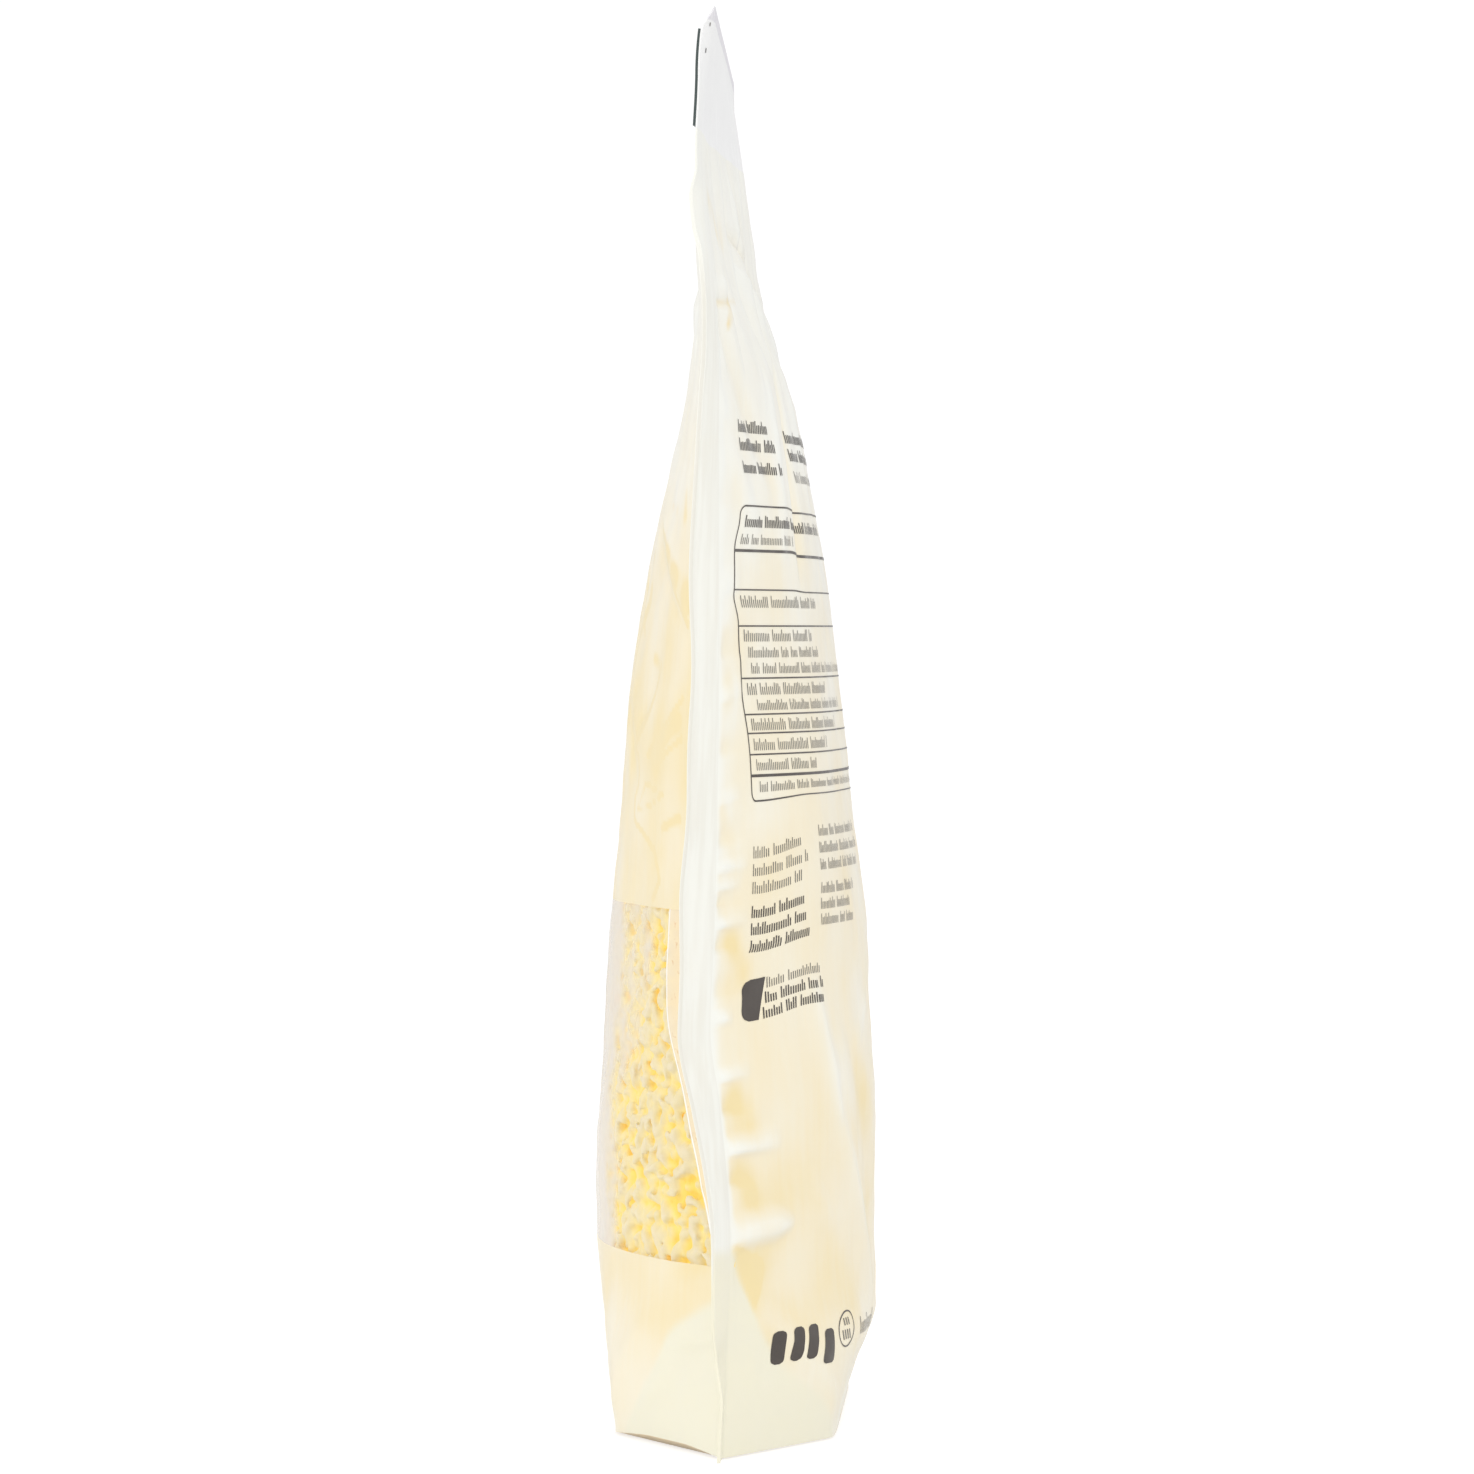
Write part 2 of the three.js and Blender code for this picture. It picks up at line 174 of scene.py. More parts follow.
def seal_half(z):
    """Half the thickness of the two films where they are sealed together."""
    return SEAL_HALF + (HEADER_HALF - SEAL_HALF) * ramp(z, 204, 232)


# ---- folds of the film

# A fold is (x and z of its start, x and z of its end, half width, height, crispness, lap). It stands out of
# the panel where its height is above 0. Crispness runs from 0 for a soft swell to 1 for a sharp crease. A
# lap, 0 where it isn't given, makes one flank broad and the other steep, as where film is tucked over.
BACK_FOLDS = (
    # The bright tuck that runs in from where the base's fold meets the side seal, and the hollow under it.
    (72.5, 37.6, 51, 39.2, 4.4, 1.9, 0.35, -0.2), (69, 36, 62, 23, 3.6, -0.8, 0.3),
    # The edges of the flat corners of the base.
    (68.5, 30, 39, 5, 5, 0.5, 0.6), (-68.5, 30, -39, 5, 5, 0.5, 0.6),
    # The long ridge down the belly, with a hollow on its far side.
    (41, 84, 33, 54, 7, 0.9, 0.8, 0.2), (35, 60, 8, 18, 7, 1, 0.8, 0.2), (26, 74, 2, 26, 9, -0.9, 0.3),
    # Upright folds that break the print.
    (22, 192, 35, 150, 5, -1.3, 0.6), (36, 190, 46, 154, 6, 0.7, 0.5), (6, 196, 14, 160, 7, 0.6, 0.5),
    # The slanting folds of the neck.
    (44, 215, -14, 203.5, 3.4, -1.3, 0.8), (40, 208, -22, 197, 5, 1.1, 0.5, 0.5),
    # The broad valley that runs down from the pinch.
    (74, 200, 44, 166, 5.5, -0.8, 0.2), (8, 207, -26, 186, 4, -0.7, 0.7),
    (76, 199.8, 57, 200.4, 1.4, -0.7, 0.5, 0.6), (75, 203, 56, 203, 2.4, 0.4, 0.4),
    (71, 178, 56, 160, 5, 0.4, 0.2), (30, 226, 22, 205, 4, 0.5, 0.6), (12, 226, 2, 207, 4, -0.5, 0.6),
    (-18, 208, -52, 186, 6, 0.9, 0.6), (-34, 196, -50, 150, 8, -0.9, 0.5), (-44, 90, -28, 30, 9, 0.9, 0.7),
    (-74, 38.6, -52, 40.5, 3.2, 1.9, 0.5, 0.72), (-71, 35, -62, 21, 4, -1, 0.3),
)
FRONT_FOLDS = (
    (25, 164, 61, 141.5, 3.4, -0.5, 0.8), (27, 167, 60, 147, 6, 0.4, 0.3),
    (24, 160, 19, 128, 4, -0.35, 0.7), (20, 132, 36, 114, 4, -0.35, 0.7), (46, 136, 31, 124, 3, -0.3, 0.7),
    (-20, 176, -44, 120, 7, -0.6, 0.6), (-52, 160, -30, 118, 6, 0.5, 0.6), (8, 210, 40, 190, 6, 0.5, 0.6),
    (-4, 206, -40, 184, 6, -0.7, 0.6), (69, 27, 46, 3, 5, 0.4, 0.6), (-69, 27, -46, 3, 5, 0.4, 0.6),
    (70, 20, 54, 17, 2, 0.35, 0.4, -0.4), (73, 37, 55, 30, 4, -0.6, 0.5), (-73, 37, -55, 30, 4, -0.6, 0.5),
)
# Puckers that run in from the side seals: (height, length, half width, depth, rise on the way in).
BACK_PUCKERS = (
    (52.6, 15, 2.3, 1.5, 0.05), (47.4, 9, 2.2, -0.9, 0), (65.2, 8, 1.6, 1, 0.1), (60, 9, 2.8, -1, 0),
    (75.4, 5, 1.6, 1.1, 0), (80, 9, 2.6, -0.5, 0.1), (91.6, 9, 1.5, 0.9, 0.1), (87.8, 8, 2, -0.7, 0.1),
    (95.2, 8, 1.6, -0.6, 0.1), (98.2, 7, 1.2, 0.7, 0.1), (101.6, 9, 1.3, 0.8, 0.05),
    (106, 9, 2.6, -0.6, 0.2), (113, 7, 1.6, 0.5, 0.2), (122, 9, 2.6, -0.5, 0.1), (131, 8, 2, 0.5, 0.2),
    (139, 9, 3, -0.5, 0.1), (150, 9, 3, 0.4, 0.1), (166, 10, 4, -0.4, -0.2), (182, 9, 4, 0.4, -0.3),
)
FRONT_PUCKERS = (
    (46, 6, 2.4, 0.6, 0), (58, 6, 2.4, -0.5, 0.1), (68, 6, 2.2, 0.6, 0), (80, 6, 2.6, -0.5, 0.1),
    (99, 6, 2.6, 0.4, 0.1), (112, 8, 3, -0.4, 0.2), (124, 7, 3, 0.4, 0.2), (138, 8, 3.6, -0.4, 0.2),
    (151, 8, 3.6, 0.4, 0), (168, 8, 4, -0.4, -0.2),
)
# Where the cheese behind the film darkens it: (half width at its start and end, strength, places in x, z).
FRONT_STAINS = (
    (2, 2.2, 0.35, ((27, 156), (30, 148), (23, 141), (21, 134), (21, 127))),
    (0.5, 4.2, 0.6, ((30, 162.5), (42, 157.5), (50.5, 153), (59, 148.5))),
    (0.6, 0.8, 0.7, ((41, 156.6), (48.5, 151.8), (55, 147.2), (60, 144))),
    (1.6, 1.6, 0.5, ((40, 138), (44, 137))),
    (0.5, 1.7, 0.55, ((46, 137), (43, 131.5), (39, 128), (32, 124))),
    (0.5, 0.7, 0.6, ((28, 124), (35, 120), (36, 116), (34, 112.8), (34.5, 109), (41, 107), (48, 104),
      (51, 99), (48, 95.5))),
    (0.5, 2.6, 0.3, ((42, 121), (50, 122.5), (58, 127))),
    (0.5, 0.7, 0.5, ((60, 131), (53, 126.8), (41, 120.8), (50.8, 120.5), (57, 122.8), (60, 124))),
    (0.4, 0.4, 0.45, ((36, 111), (41, 116), (52, 114), (45, 112), (36, 111))),
    (0.9, 1.5, 0.45, ((52, 108.2), (59, 110))), (1, 1.6, 0.3, ((40, 165), (46, 164))),
    (2, 2.4, 0.4, ((54, 166.5), (55, 163))),
)
# On the back, the two marks that run down the hollow under the tuck, from height 37 to 24.6, are painted
# shade, and the marks below the puckers beside the seal, between heights 45 and 63, are partly cheese
# against the film and partly painted shade.
BACK_STAINS = (
    (3.4, 4.4, 0.22, ((71, 142), (70, 131), (71, 124))),
    (3.4, 6.4, 0.26, ((71, 112), (68.5, 106), (68.5, 96), (64, 84))), (3.6, 6, 0.22, ((66, 63), (64, 57))),
    (4, 6, 0.22, ((66, 50), (65, 45))), (0.6, 3.8, 0.45, ((70.5, 37), (67, 34.4), (63, 31))),
    (3.8, 0.6, 0.45, ((63, 31), (62.6, 28.4), (63.4, 24.6))),
    (0.9, 1.1, 0.35, ((76, 199.2), (70, 199.4), (60, 200), (48, 200.8))),
    (3.6, 1.4, 0.6, ((60, 199.6), (65, 196))), (3, 5, 0.3, ((69, 218), (62, 214), (52, 212))),
)


def fold(x, z, x0, z0, x1, z1, half_width, height, crispness, lap=0):
    """How far one fold stands out at x and z."""
    length = math.hypot(x1 - x0, z1 - z0)
    ux, uz = (x1 - x0) / length, (z1 - z0) / length
    lengthwise = ((x - x0) * ux + (z - z0) * uz) / length
    across = (z - z0) * ux - (x - x0) * uz
    fade = np.clip(1 - np.abs(2 * lengthwise - 1) ** 2.6, 0, 1)
    t = across / (half_width * (0.45 + 0.55 * fade) * np.where(across > 0, 1 + lap, 1 - lap))
    return height * fade * ((1 - crispness) * bump(t) + crispness * crest(t))


def ripples(x, z, seed, wavelength, count=9):
    """A smooth random surface between about -1 and 1, of this typical wavelength."""
    draw = random.Random(seed)
    total = np.zeros(np.broadcast(x, z).shape)
    for _ in range(count):
        turn = draw.uniform(0, math.pi)
        number = 2 * math.pi / (wavelength * draw.uniform(0.7, 1.5))
        total += np.sin(number * (x * math.cos(turn) + z * math.sin(turn)) + draw.uniform(0, 2 * math.pi))
    return total / math.sqrt(count)


def random_folds(side, count, heights, slants, depth):
    """Small folds scattered over a panel."""
    draw = random.Random(11 if side == "front" else 7)
    folds = []
    for _ in range(count):
        x, z = draw.uniform(-62, 62), draw.uniform(*heights)
        turn = math.radians(draw.uniform(*slants))
        half = draw.uniform(5, 13)
        dx, dz = half * math.cos(turn), half * math.sin(turn)
        height = draw.choice((-1, 1)) * draw.uniform(0.35, 1) * depth
        width, crispness = draw.uniform(1.8, 4.5), draw.uniform(0.4, 0.9)
        folds.append((x - dx, z - dz, x + dx, z + dz, width, height, crispness))
    return folds


def random_stains(side, count, heights, reach):
    """Wandering marks where the cheese touches the film, on the parts that have none of their own."""
    draw = random.Random(23 if side == "front" else 29)
    stains = []
    for _ in range(count):
        x, z = draw.uniform(*reach), draw.uniform(*heights)
        turn = draw.uniform(0, 2 * math.pi)
        places = [(x, z)]
        for _ in range(draw.randint(2, 6)):
            turn += draw.uniform(-0.9, 0.9)
            x, z = x + 6 * math.cos(turn), z + 7 * math.sin(turn)
            places.append((x, z))
        stains.append((draw.uniform(0.5, 1.2), draw.uniform(0.5, 2.4), draw.uniform(0.12, 0.36), places))
    return stains


FOLDS = {
    "front": (*FRONT_FOLDS, *random_folds("front", 20, (190, 222), (50, 130), 0.3),
              *random_folds("front", 16, (6, 180), (0, 180), 0.2)),
    "back": (*BACK_FOLDS, *random_folds("back", 22, (202, 226), (60, 120), 0.28),
             *random_folds("back", 30, (10, 190), (0, 180), 0.24)),
}
PUCKERS = {"front": FRONT_PUCKERS, "back": BACK_PUCKERS}
STAINS = {
    "front": (*FRONT_STAINS, *random_stains("front", 18, (98, 168), (-66, 4))),
    "back": (*BACK_STAINS, *random_stains("back", 10, (30, 150), (-68, -14))),
}
SEEDS = {"front": 31, "back": 57}
LUMPS = {"front": 0.25, "back": 0.35}
FAR_SHIFT = 3.0  # how much higher the puckers beside the far seal lie


def features(side, x, z):
    """The folds and puckers of a panel."""
    total = np.zeros(np.broadcast(x, z).shape)
    for one in FOLDS[side]:
        total = total + fold(x, z, *one)
    inwards = half_chord(z) - np.abs(x)
    for end in (1, -1):
        on_end = ramp(x * end, 0, 8)
        for height, length, half_width, depth, rise in PUCKERS[side]:
            up = z - height - (0 if end > 0 else FAR_SHIFT) - rise * inwards
            t = up / (half_width * (1 + 0.5 * inwards / length) * np.where(up > 0, 1.45, 0.55))
            total = total + on_end * depth * bump(t) * np.clip(1 - inwards / length, 0, 1) ** 0.6
    return total


def relief(side, x, z):
    """How far the film stands out of the panel's plain form."""
    seed = SEEDS[side]
    filled = ramp(z, 200, 165) * ramp(z, 6, 30)
    neck = ramp(z, 172, 200) * ramp(z, 238, 218)
    out = LUMPS[side] * ripples(x, z, seed, 40) * filled
    out = out + 0.5 * (np.abs(ripples(x * 1.5, z * 0.6, seed + 2, 30)) - 0.75) * neck
    out = out + 0.05 * ripples(x, z, seed + 3, 8) * ramp(z, 234, 205)
    out = out + 0.1 * ripples(x, z, seed + 4, 30) * ramp(z, 214, 232)
    out = out + features(side, x, z)
    inwards = half_chord(z) - np.abs(x)
    hem = np.clip(inwards / (2.2 + 10 * ramp(z, 194, 206)), 0, 1)
    return out * hem * ramp(z, 0, 9) * ramp(z, POUCH_HEIGHT - 2, POUCH_HEIGHT - 14)


def soft_lesser(a, b, rounding):
    h = np.maximum(rounding - np.abs(a - b), 0) / np.maximum(rounding, 1e-9)
    return np.minimum(a, b) - h * h * rounding / 4


def seal_reach(z):
    """How far a side seal reaches along x, from its inner line to its cut edge."""
    return np.sqrt(SEAL_WIDTH**2 - along(SEAL_BEND, z) ** 2)


def film_depth(side, x, z):
    """The film's y, on the panel and on the side seals."""
    inner = half_chord(z)
    share = np.minimum(1, np.abs(x) / inner)
    past = np.clip((np.abs(x) - inner) / seal_reach(z), 0, 1.05)
    outward = -1 if side == "front" else 1
    belly = along(FRONT_BELLY if side == "front" else BACK_BELLY, z)
    middle = along(SEAL_LINE, z)
    rise = np.maximum((belly - middle) * outward - seal_half(z), 0)
    low = np.maximum(0, 1 - z / GUSSET_HEIGHT)
    blunt = 1 - share ** (2 + 5 * low**3)
    facet = (1 - share) * inner * (FACET_SLOPE - FACET_FLARE * low**2) / np.maximum(rise, 1e-3)
    form = np.where(low > 0, soft_lesser(blunt, facet, 0.06 * low), blunt)
    wave = 0.22 * ripples(np.sign(x) * 40.0, z, 5, 34) * past**2 * ramp(z, 2, 20)
    seal = middle + lean(x, z) - along(SEAL_BEND, z) * past**1.15 + wave
    return seal + outward * (seal_half(z) + rise * form + relief(side, x, z))


def film_points(side, x, z, lift):
    """Points on the film at x and z, lifted off it by this much."""
    step = 0.05
    y = film_depth(side, x, z)
    outward = -1 if side == "front" else 1
    slope_x = (film_depth(side, x + step, z) - film_depth(side, x - step, z)) / (2 * step)
    slope_z = (film_depth(side, x, z + step) - film_depth(side, x, z - step)) / (2 * step)
    normal = np.stack([-slope_x, np.ones_like(y), -slope_z], -1) * outward
    normal /= np.linalg.norm(normal, axis=-1, keepdims=True)
    return np.stack([x, y, z], -1) + normal * lift


def stroke(x, z, places, start_width, end_width):
    """1 along a line through these places, and 0 at its half width, which runs from first to last."""
    nearest = np.full(np.broadcast(x, z).shape, 1e9)
    for i, ((x0, z0), (x1, z1)) in enumerate(zip(places, places[1:])):
        run, climb = x1 - x0, z1 - z0
        t = np.clip(((x - x0) * run + (z - z0) * climb) / (run**2 + climb**2), 0, 1)
        half_width = start_width + (end_width - start_width) * (i + t) / (len(places) - 1)
        nearest = np.minimum(nearest, np.hypot(x - x0 - t * run, z - z0 - t * climb) / half_width)
    return bump(nearest)


# How closely the cheese lies behind the film, by height: 0 is clear of it and pale, 1 is pressed against it.
CONTACT = {
    "front": ((0, 0.42), (12, 0.62), (30, 0.78), (45, 0.8), (95, 0.82), (130, 0.86), (150, 0.7), (168, 0.46),
              (185, 0.3), (205, 0.16), (228, 0.1)),
    "back": ((0, 0.4), (14, 0.6), (24, 0.78), (45, 0.72), (60, 0.64), (75, 0.56), (95, 0.6), (115, 0.52),
             (140, 0.44), (162, 0.32), (180, 0.2), (205, 0.12), (228, 0.08)),
}
# How high the pale corners of the base reach, against the distance from the middle.
CORNER_EDGE = {
    "front": ((36, -6), (44, 2.4), (47.3, 7.2), (52, 15.6), (61.4, 23.6), (70, 27)),
    "back": (
        (36, -5), (44.3, 4), (51.8, 11.2), (58.4, 15.2), (61.7, 20.4), (63.5, 25), (65.3, 29.6),
        (69.5, 35.6),
    ),
}


def contact_and_shade(side, x, z):
    """How closely the cheese lies behind the film at x and z, with painted shade added in the hollows of the
    folds and under the tuck, and a painted highlight on the folds' ridges.
    """
    inwards = half_chord(z) - np.abs(x)
    seed = SEEDS[side]
    margin = 1.5 + (7.5 * ramp(z, 55, 110) if side == "back" else 1.5)
    total = along(CONTACT[side], z) * ramp(inwards, -1, margin)
    uneven = 1 + 0.5 * ripples(x, z, seed + 20, 9)
    for start_width, end_width, strength, places in STAINS[side]:
        total = total + strength * stroke(x, z, places, start_width, end_width) * np.clip(uneven, 0.3, 1.5)
    total = total + 0.09 * ripples(x, z, seed + 21, 22) * ramp(z, 205, 165)
    folds = features(side, x, z)
    # Painted light as well as cheese: the hollows of the folds get warmer, partly painted shade, and their
    # ridges paler, partly a painted highlight.
    total = total - np.where(folds > 0, 0.42, 0.24) * np.clip(folds, -0.9, 1.4)
    return np.clip(total, 0, 1.15) * ramp(inwards, -0.6, 1.2)


def corner(side, x, z):
    """1 on the flat corners of the base, where the two films meet with no cheese between them."""
    edge = along(CORNER_EDGE[side], np.abs(x)) - z + 0.7 * ripples(x, z, 83, 14)
    past_seal = (np.abs(x) > half_chord(z)) * ramp(z, 36, 28)
    return np.maximum(ramp(edge, -1.6, 1.6), past_seal)


# ---- meshes

SEAL_COLUMNS = 9
PANEL_COLUMNS = 200
ROW_STEP = 0.74


def row_heights(*stops):
    """Heights from the ground to the top, about one step apart, that include every stop."""
    heights = [0.0]
    for stop in (*stops, POUCH_HEIGHT):
        count = max(1, round((stop - heights[-1]) / ROW_STEP))
        heights += list(np.linspace(heights[-1], stop, count + 1)[1:])
    return np.array(heights)


def deselect():
    bpy.ops.object.select_all(action="DESELECT")


def choose(obj):
    deselect()
    obj.select_set(True)
    bpy.context.view_layer.objects.active = obj


def add_grid(name, columns, rows):
    """A flat grid of this many faces each way, and each vertex's column and row."""
    deselect()
    bpy.ops.mesh.primitive_grid_add(x_subdivisions=columns, y_subdivisions=rows, size=2)
    grid = bpy.context.object
    grid.name = grid.data.name = name
    flat = triples(grid.data.vertices, "co")
    column = np.rint((flat[:, 0] + 1) / 2 * columns).astype(int)
    row = np.rint((flat[:, 1] + 1) / 2 * rows).astype(int)
    return grid, column, row


def shape_grid(grid, points, outwards):
    """Moves a grid's vertices to points, and turns its faces so that they look the way of outwards."""
    mesh = grid.data
    mesh.vertices.foreach_set("co", (points * MM).astype(np.float32).ravel())
    mesh.update()
    if (triples(mesh.polygons, "normal") @ np.array(outwards, float)).sum() < 0:
        mesh.flip_normals()
    mesh.polygons.foreach_set("use_smooth", np.ones(len(mesh.polygons), bool))
    mesh.update()


def add_mesh(name, points, faces):
    mesh = bpy.data.meshes.new(name)
    mesh.from_pydata((points * MM).tolist(), [], faces)
    mesh.polygons.foreach_set("use_smooth", np.ones(len(mesh.polygons), bool))
    obj = bpy.data.objects.new(name, mesh)
    bpy.context.scene.collection.objects.link(obj)
    return obj


def apply_modifier(obj, kind, **settings):
    """Adds a modifier to the chosen object and applies it."""
    bpy.ops.object.modifier_add(type=kind)
    modifier = obj.modifiers[-1]
    for key, value in settings.items():
        setattr(modifier, key, value)
    bpy.ops.object.modifier_apply(modifier=modifier.name)


def edit_faces(obj, chosen, change, **settings):
    """Runs a mesh operator on these faces of an object."""
    choose(obj)
    bpy.ops.object.mode_set(mode="EDIT")
    bpy.ops.mesh.select_all(action="DESELECT")
    bpy.ops.object.mode_set(mode="OBJECT")
    obj.data.polygons.foreach_set("select", chosen)
    bpy.ops.object.mode_set(mode="EDIT")
    bpy.ops.mesh.select_mode(type="FACE")
    change(**settings)
    bpy.ops.object.mode_set(mode="OBJECT")


def store(obj, name, values):
    """Keeps one number for each vertex, for the material to read."""
    attribute = obj.data.attributes.new(name, "FLOAT", "POINT")
    attribute.data.foreach_set("value", np.asarray(values, np.float32))


def triples(items, name):
    """A value of three numbers of each vertex or face of a mesh."""
    values = np.empty(len(items) * 3)
    items.foreach_get(name, values)
    return values.reshape(-1, 3)


def give_materials(obj, materials, choice=None):
    obj.data.materials.clear()
    for material in materials:
        obj.data.materials.append(material)
    if choice is not None:
        obj.data.polygons.foreach_set("material_index", choice.astype(np.int32))
    obj.data.update()


def settle(obj, node):
    """Tells the frame what a finished piece rides, and hides the part it stands in for."""
    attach(obj, "root")
    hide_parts(node)


def add_panel(name, side, stops):
    """One side of the pouch from cut edge to cut edge, with a lip that closes it on the other side."""
    heights = row_heights(*stops)
    columns = PANEL_COLUMNS + 2 * SEAL_COLUMNS + 2
    grid, column, row = add_grid(name, columns, len(heights) - 1)
    z = heights[row]
    outward = -1 if side == "front" else 1
    inner = half_chord(z)
    first = SEAL_COLUMNS + 1
    even = 1 - 2 * (column - first) / PANEL_COLUMNS
    x = inner * (0.7 * even + 0.3 * np.sin(np.clip(even, -1, 1) * math.pi / 2))
    past = np.zeros_like(x)
    lip = np.zeros(len(x), bool)
    for end, into in ((1, first - column), (-1, column - first - PANEL_COLUMNS)):
        at = into > 0
        past[at] = np.minimum(into[at], SEAL_COLUMNS) / SEAL_COLUMNS
        x[at] = end * (inner + seal_reach(z) * (1 - corner_cut(z)) * past)[at]
        lip |= into > SEAL_COLUMNS
    y = film_depth(side, x, z)
    y = y - lip * outward * seal_half(z)
    x = x + lip * np.sign(x) * 0.05
    # The top edge closes on the middle of the film.
    top = row == len(heights) - 1
    other = film_depth("back" if side == "front" else "front", x, z)
    y = np.where(top & ~lip, (y + other) / 2, y)
    lifted = z.copy()
    if side == "front":
        lift = along(FRONT_LIFT, np.abs(x)) * np.clip(1 - 3 * past, 0, 1)
        lifted = z + lift * np.clip(1 - z / 12, 0, 1)
    shape_grid(grid, np.stack([x, y, lifted], 1), (0, outward, 0))
    # The film's colour reads this: cheese against the film, with painted shade and painted highlight from
    # the folds.
    store(grid, "contact_and_shade", contact_and_shade(side, x, z))
    store(grid, "corner", corner(side, x, z))
    store(grid, "across", np.where(lip, 1.2, past))
    choose(grid)
    bpy.ops.object.shade_smooth_by_angle(angle=math.radians(55))
    return grid


# ---- materials


LIGHT = 1.04  # how bright the stage makes a white face that looks at the camera
GLOW = 1.2  # and the cheese, which also has a painted glow for the light that comes through it


def linear(red, green, blue, light=LIGHT):
    """A colour as shown on a screen, 0 to 255, as the linear colour of a surface that gets this light."""

    def one(value):
        value /= 255
        return (value / 12.92 if value <= 0.04045 else ((value + 0.055) / 1.055) ** 2.4) / light

    return (one(red), one(green), one(blue), 1.0)


class Material:
    """A material with one Principled shader, and short calls that add nodes to it."""

    def __init__(self, name, **shader_values):
        self.data = bpy.data.materials.new(name)
        self.data.use_nodes = True
        self.tree = self.data.node_tree
        self.shader = next(n for n in self.tree.nodes if n.type == "BSDF_PRINCIPLED")
        self.position = self.node("ShaderNodeTexCoord").outputs["Object"]
        for socket, value in shader_values.items():
            self.shader.inputs[socket.replace("_", " ")].default_value = value

    def node(self, kind, inputs=None, **settings):
        node = self.tree.nodes.new(kind)
        for key, value in settings.items():
            setattr(node, key, value)
        for key, value in (inputs or {}).items():
            if isinstance(value, bpy.types.NodeSocket):
                self.tree.links.new(value, node.inputs[key])
            else:
                node.inputs[key].default_value = value
        return node

    def link(self, source, socket):
        self.tree.links.new(source, self.shader.inputs[socket])

    def math(self, operation, a, b=0.0):
        return self.node("ShaderNodeMath", {0: a, 1: b}, operation=operation).outputs[0]

    def add(self, a, b):
        return self.math("ADD", a, b)

    def less(self, a, b):
        return self.math("SUBTRACT", a, b)

    def times(self, a, b):
        return self.math("MULTIPLY", a, b)

    def larger(self, a, b):
        return self.math("MAXIMUM", a, b)

    def size(self, a):
        return self.math("ABSOLUTE", a)

    def axis(self, name):
        return self.node("ShaderNodeSeparateXYZ", {0: self.position}).outputs[name]

    def attribute(self, name):
        return self.node("ShaderNodeAttribute", attribute_name=name).outputs["Fac"]

    def stretch(self, x=1.0, y=1.0, z=1.0):
        return self.node("ShaderNodeMapping", {"Vector": self.position, "Scale": (x, y, z)}).outputs[0]

    def between(self, value, low, high, out_low=0.0, out_high=1.0, kind="SMOOTHSTEP"):
        """out_low where value is at low, and out_high where it is at high."""
        return self.node(
            "ShaderNodeMapRange",
            {"Value": value, "From Min": low, "From Max": high, "To Min": out_low, "To Max": out_high},
            interpolation_type=kind,
        ).outputs[0]

    def noise(self, size, detail=2.0, distortion=0.0, vector=None):
        """Noise with features about this many millimetres across."""
        return self.node(
            "ShaderNodeTexNoise",
            {
                "Vector": vector or self.position,
                "Scale": 1 / (size * MM),
                "Detail": detail,
                "Distortion": distortion,
            },
        ).outputs["Fac"]

    def mix(self, share, a, b):
        return self.node("ShaderNodeMix", {0: share, 6: a, 7: b}, data_type="RGBA").outputs[2]

    def tones(self, value, light, *stops):
        """A smooth run of colours, each given as its share and then the colour as shown in this light."""
        node = self.node("ShaderNodeValToRGB", {"Fac": value})
        elements = node.color_ramp.elements
        while len(elements) < len(stops):
            elements.new(0.5)
        for element, (share, *colour) in zip(elements, stops):
            element.position = share
            element.color = linear(*colour, light)
        return node.outputs["Color"]

    def roughness(self, size, low, high):
        self.link(self.between(self.noise(size, 2.0), 0.3, 0.7, low, high), "Roughness")

    def bump(self, height, strength, distance):
        sockets = {"Height": height, "Strength": strength, "Distance": distance * MM}
        self.link(self.node("ShaderNodeBump", sockets).outputs[0], "Normal")


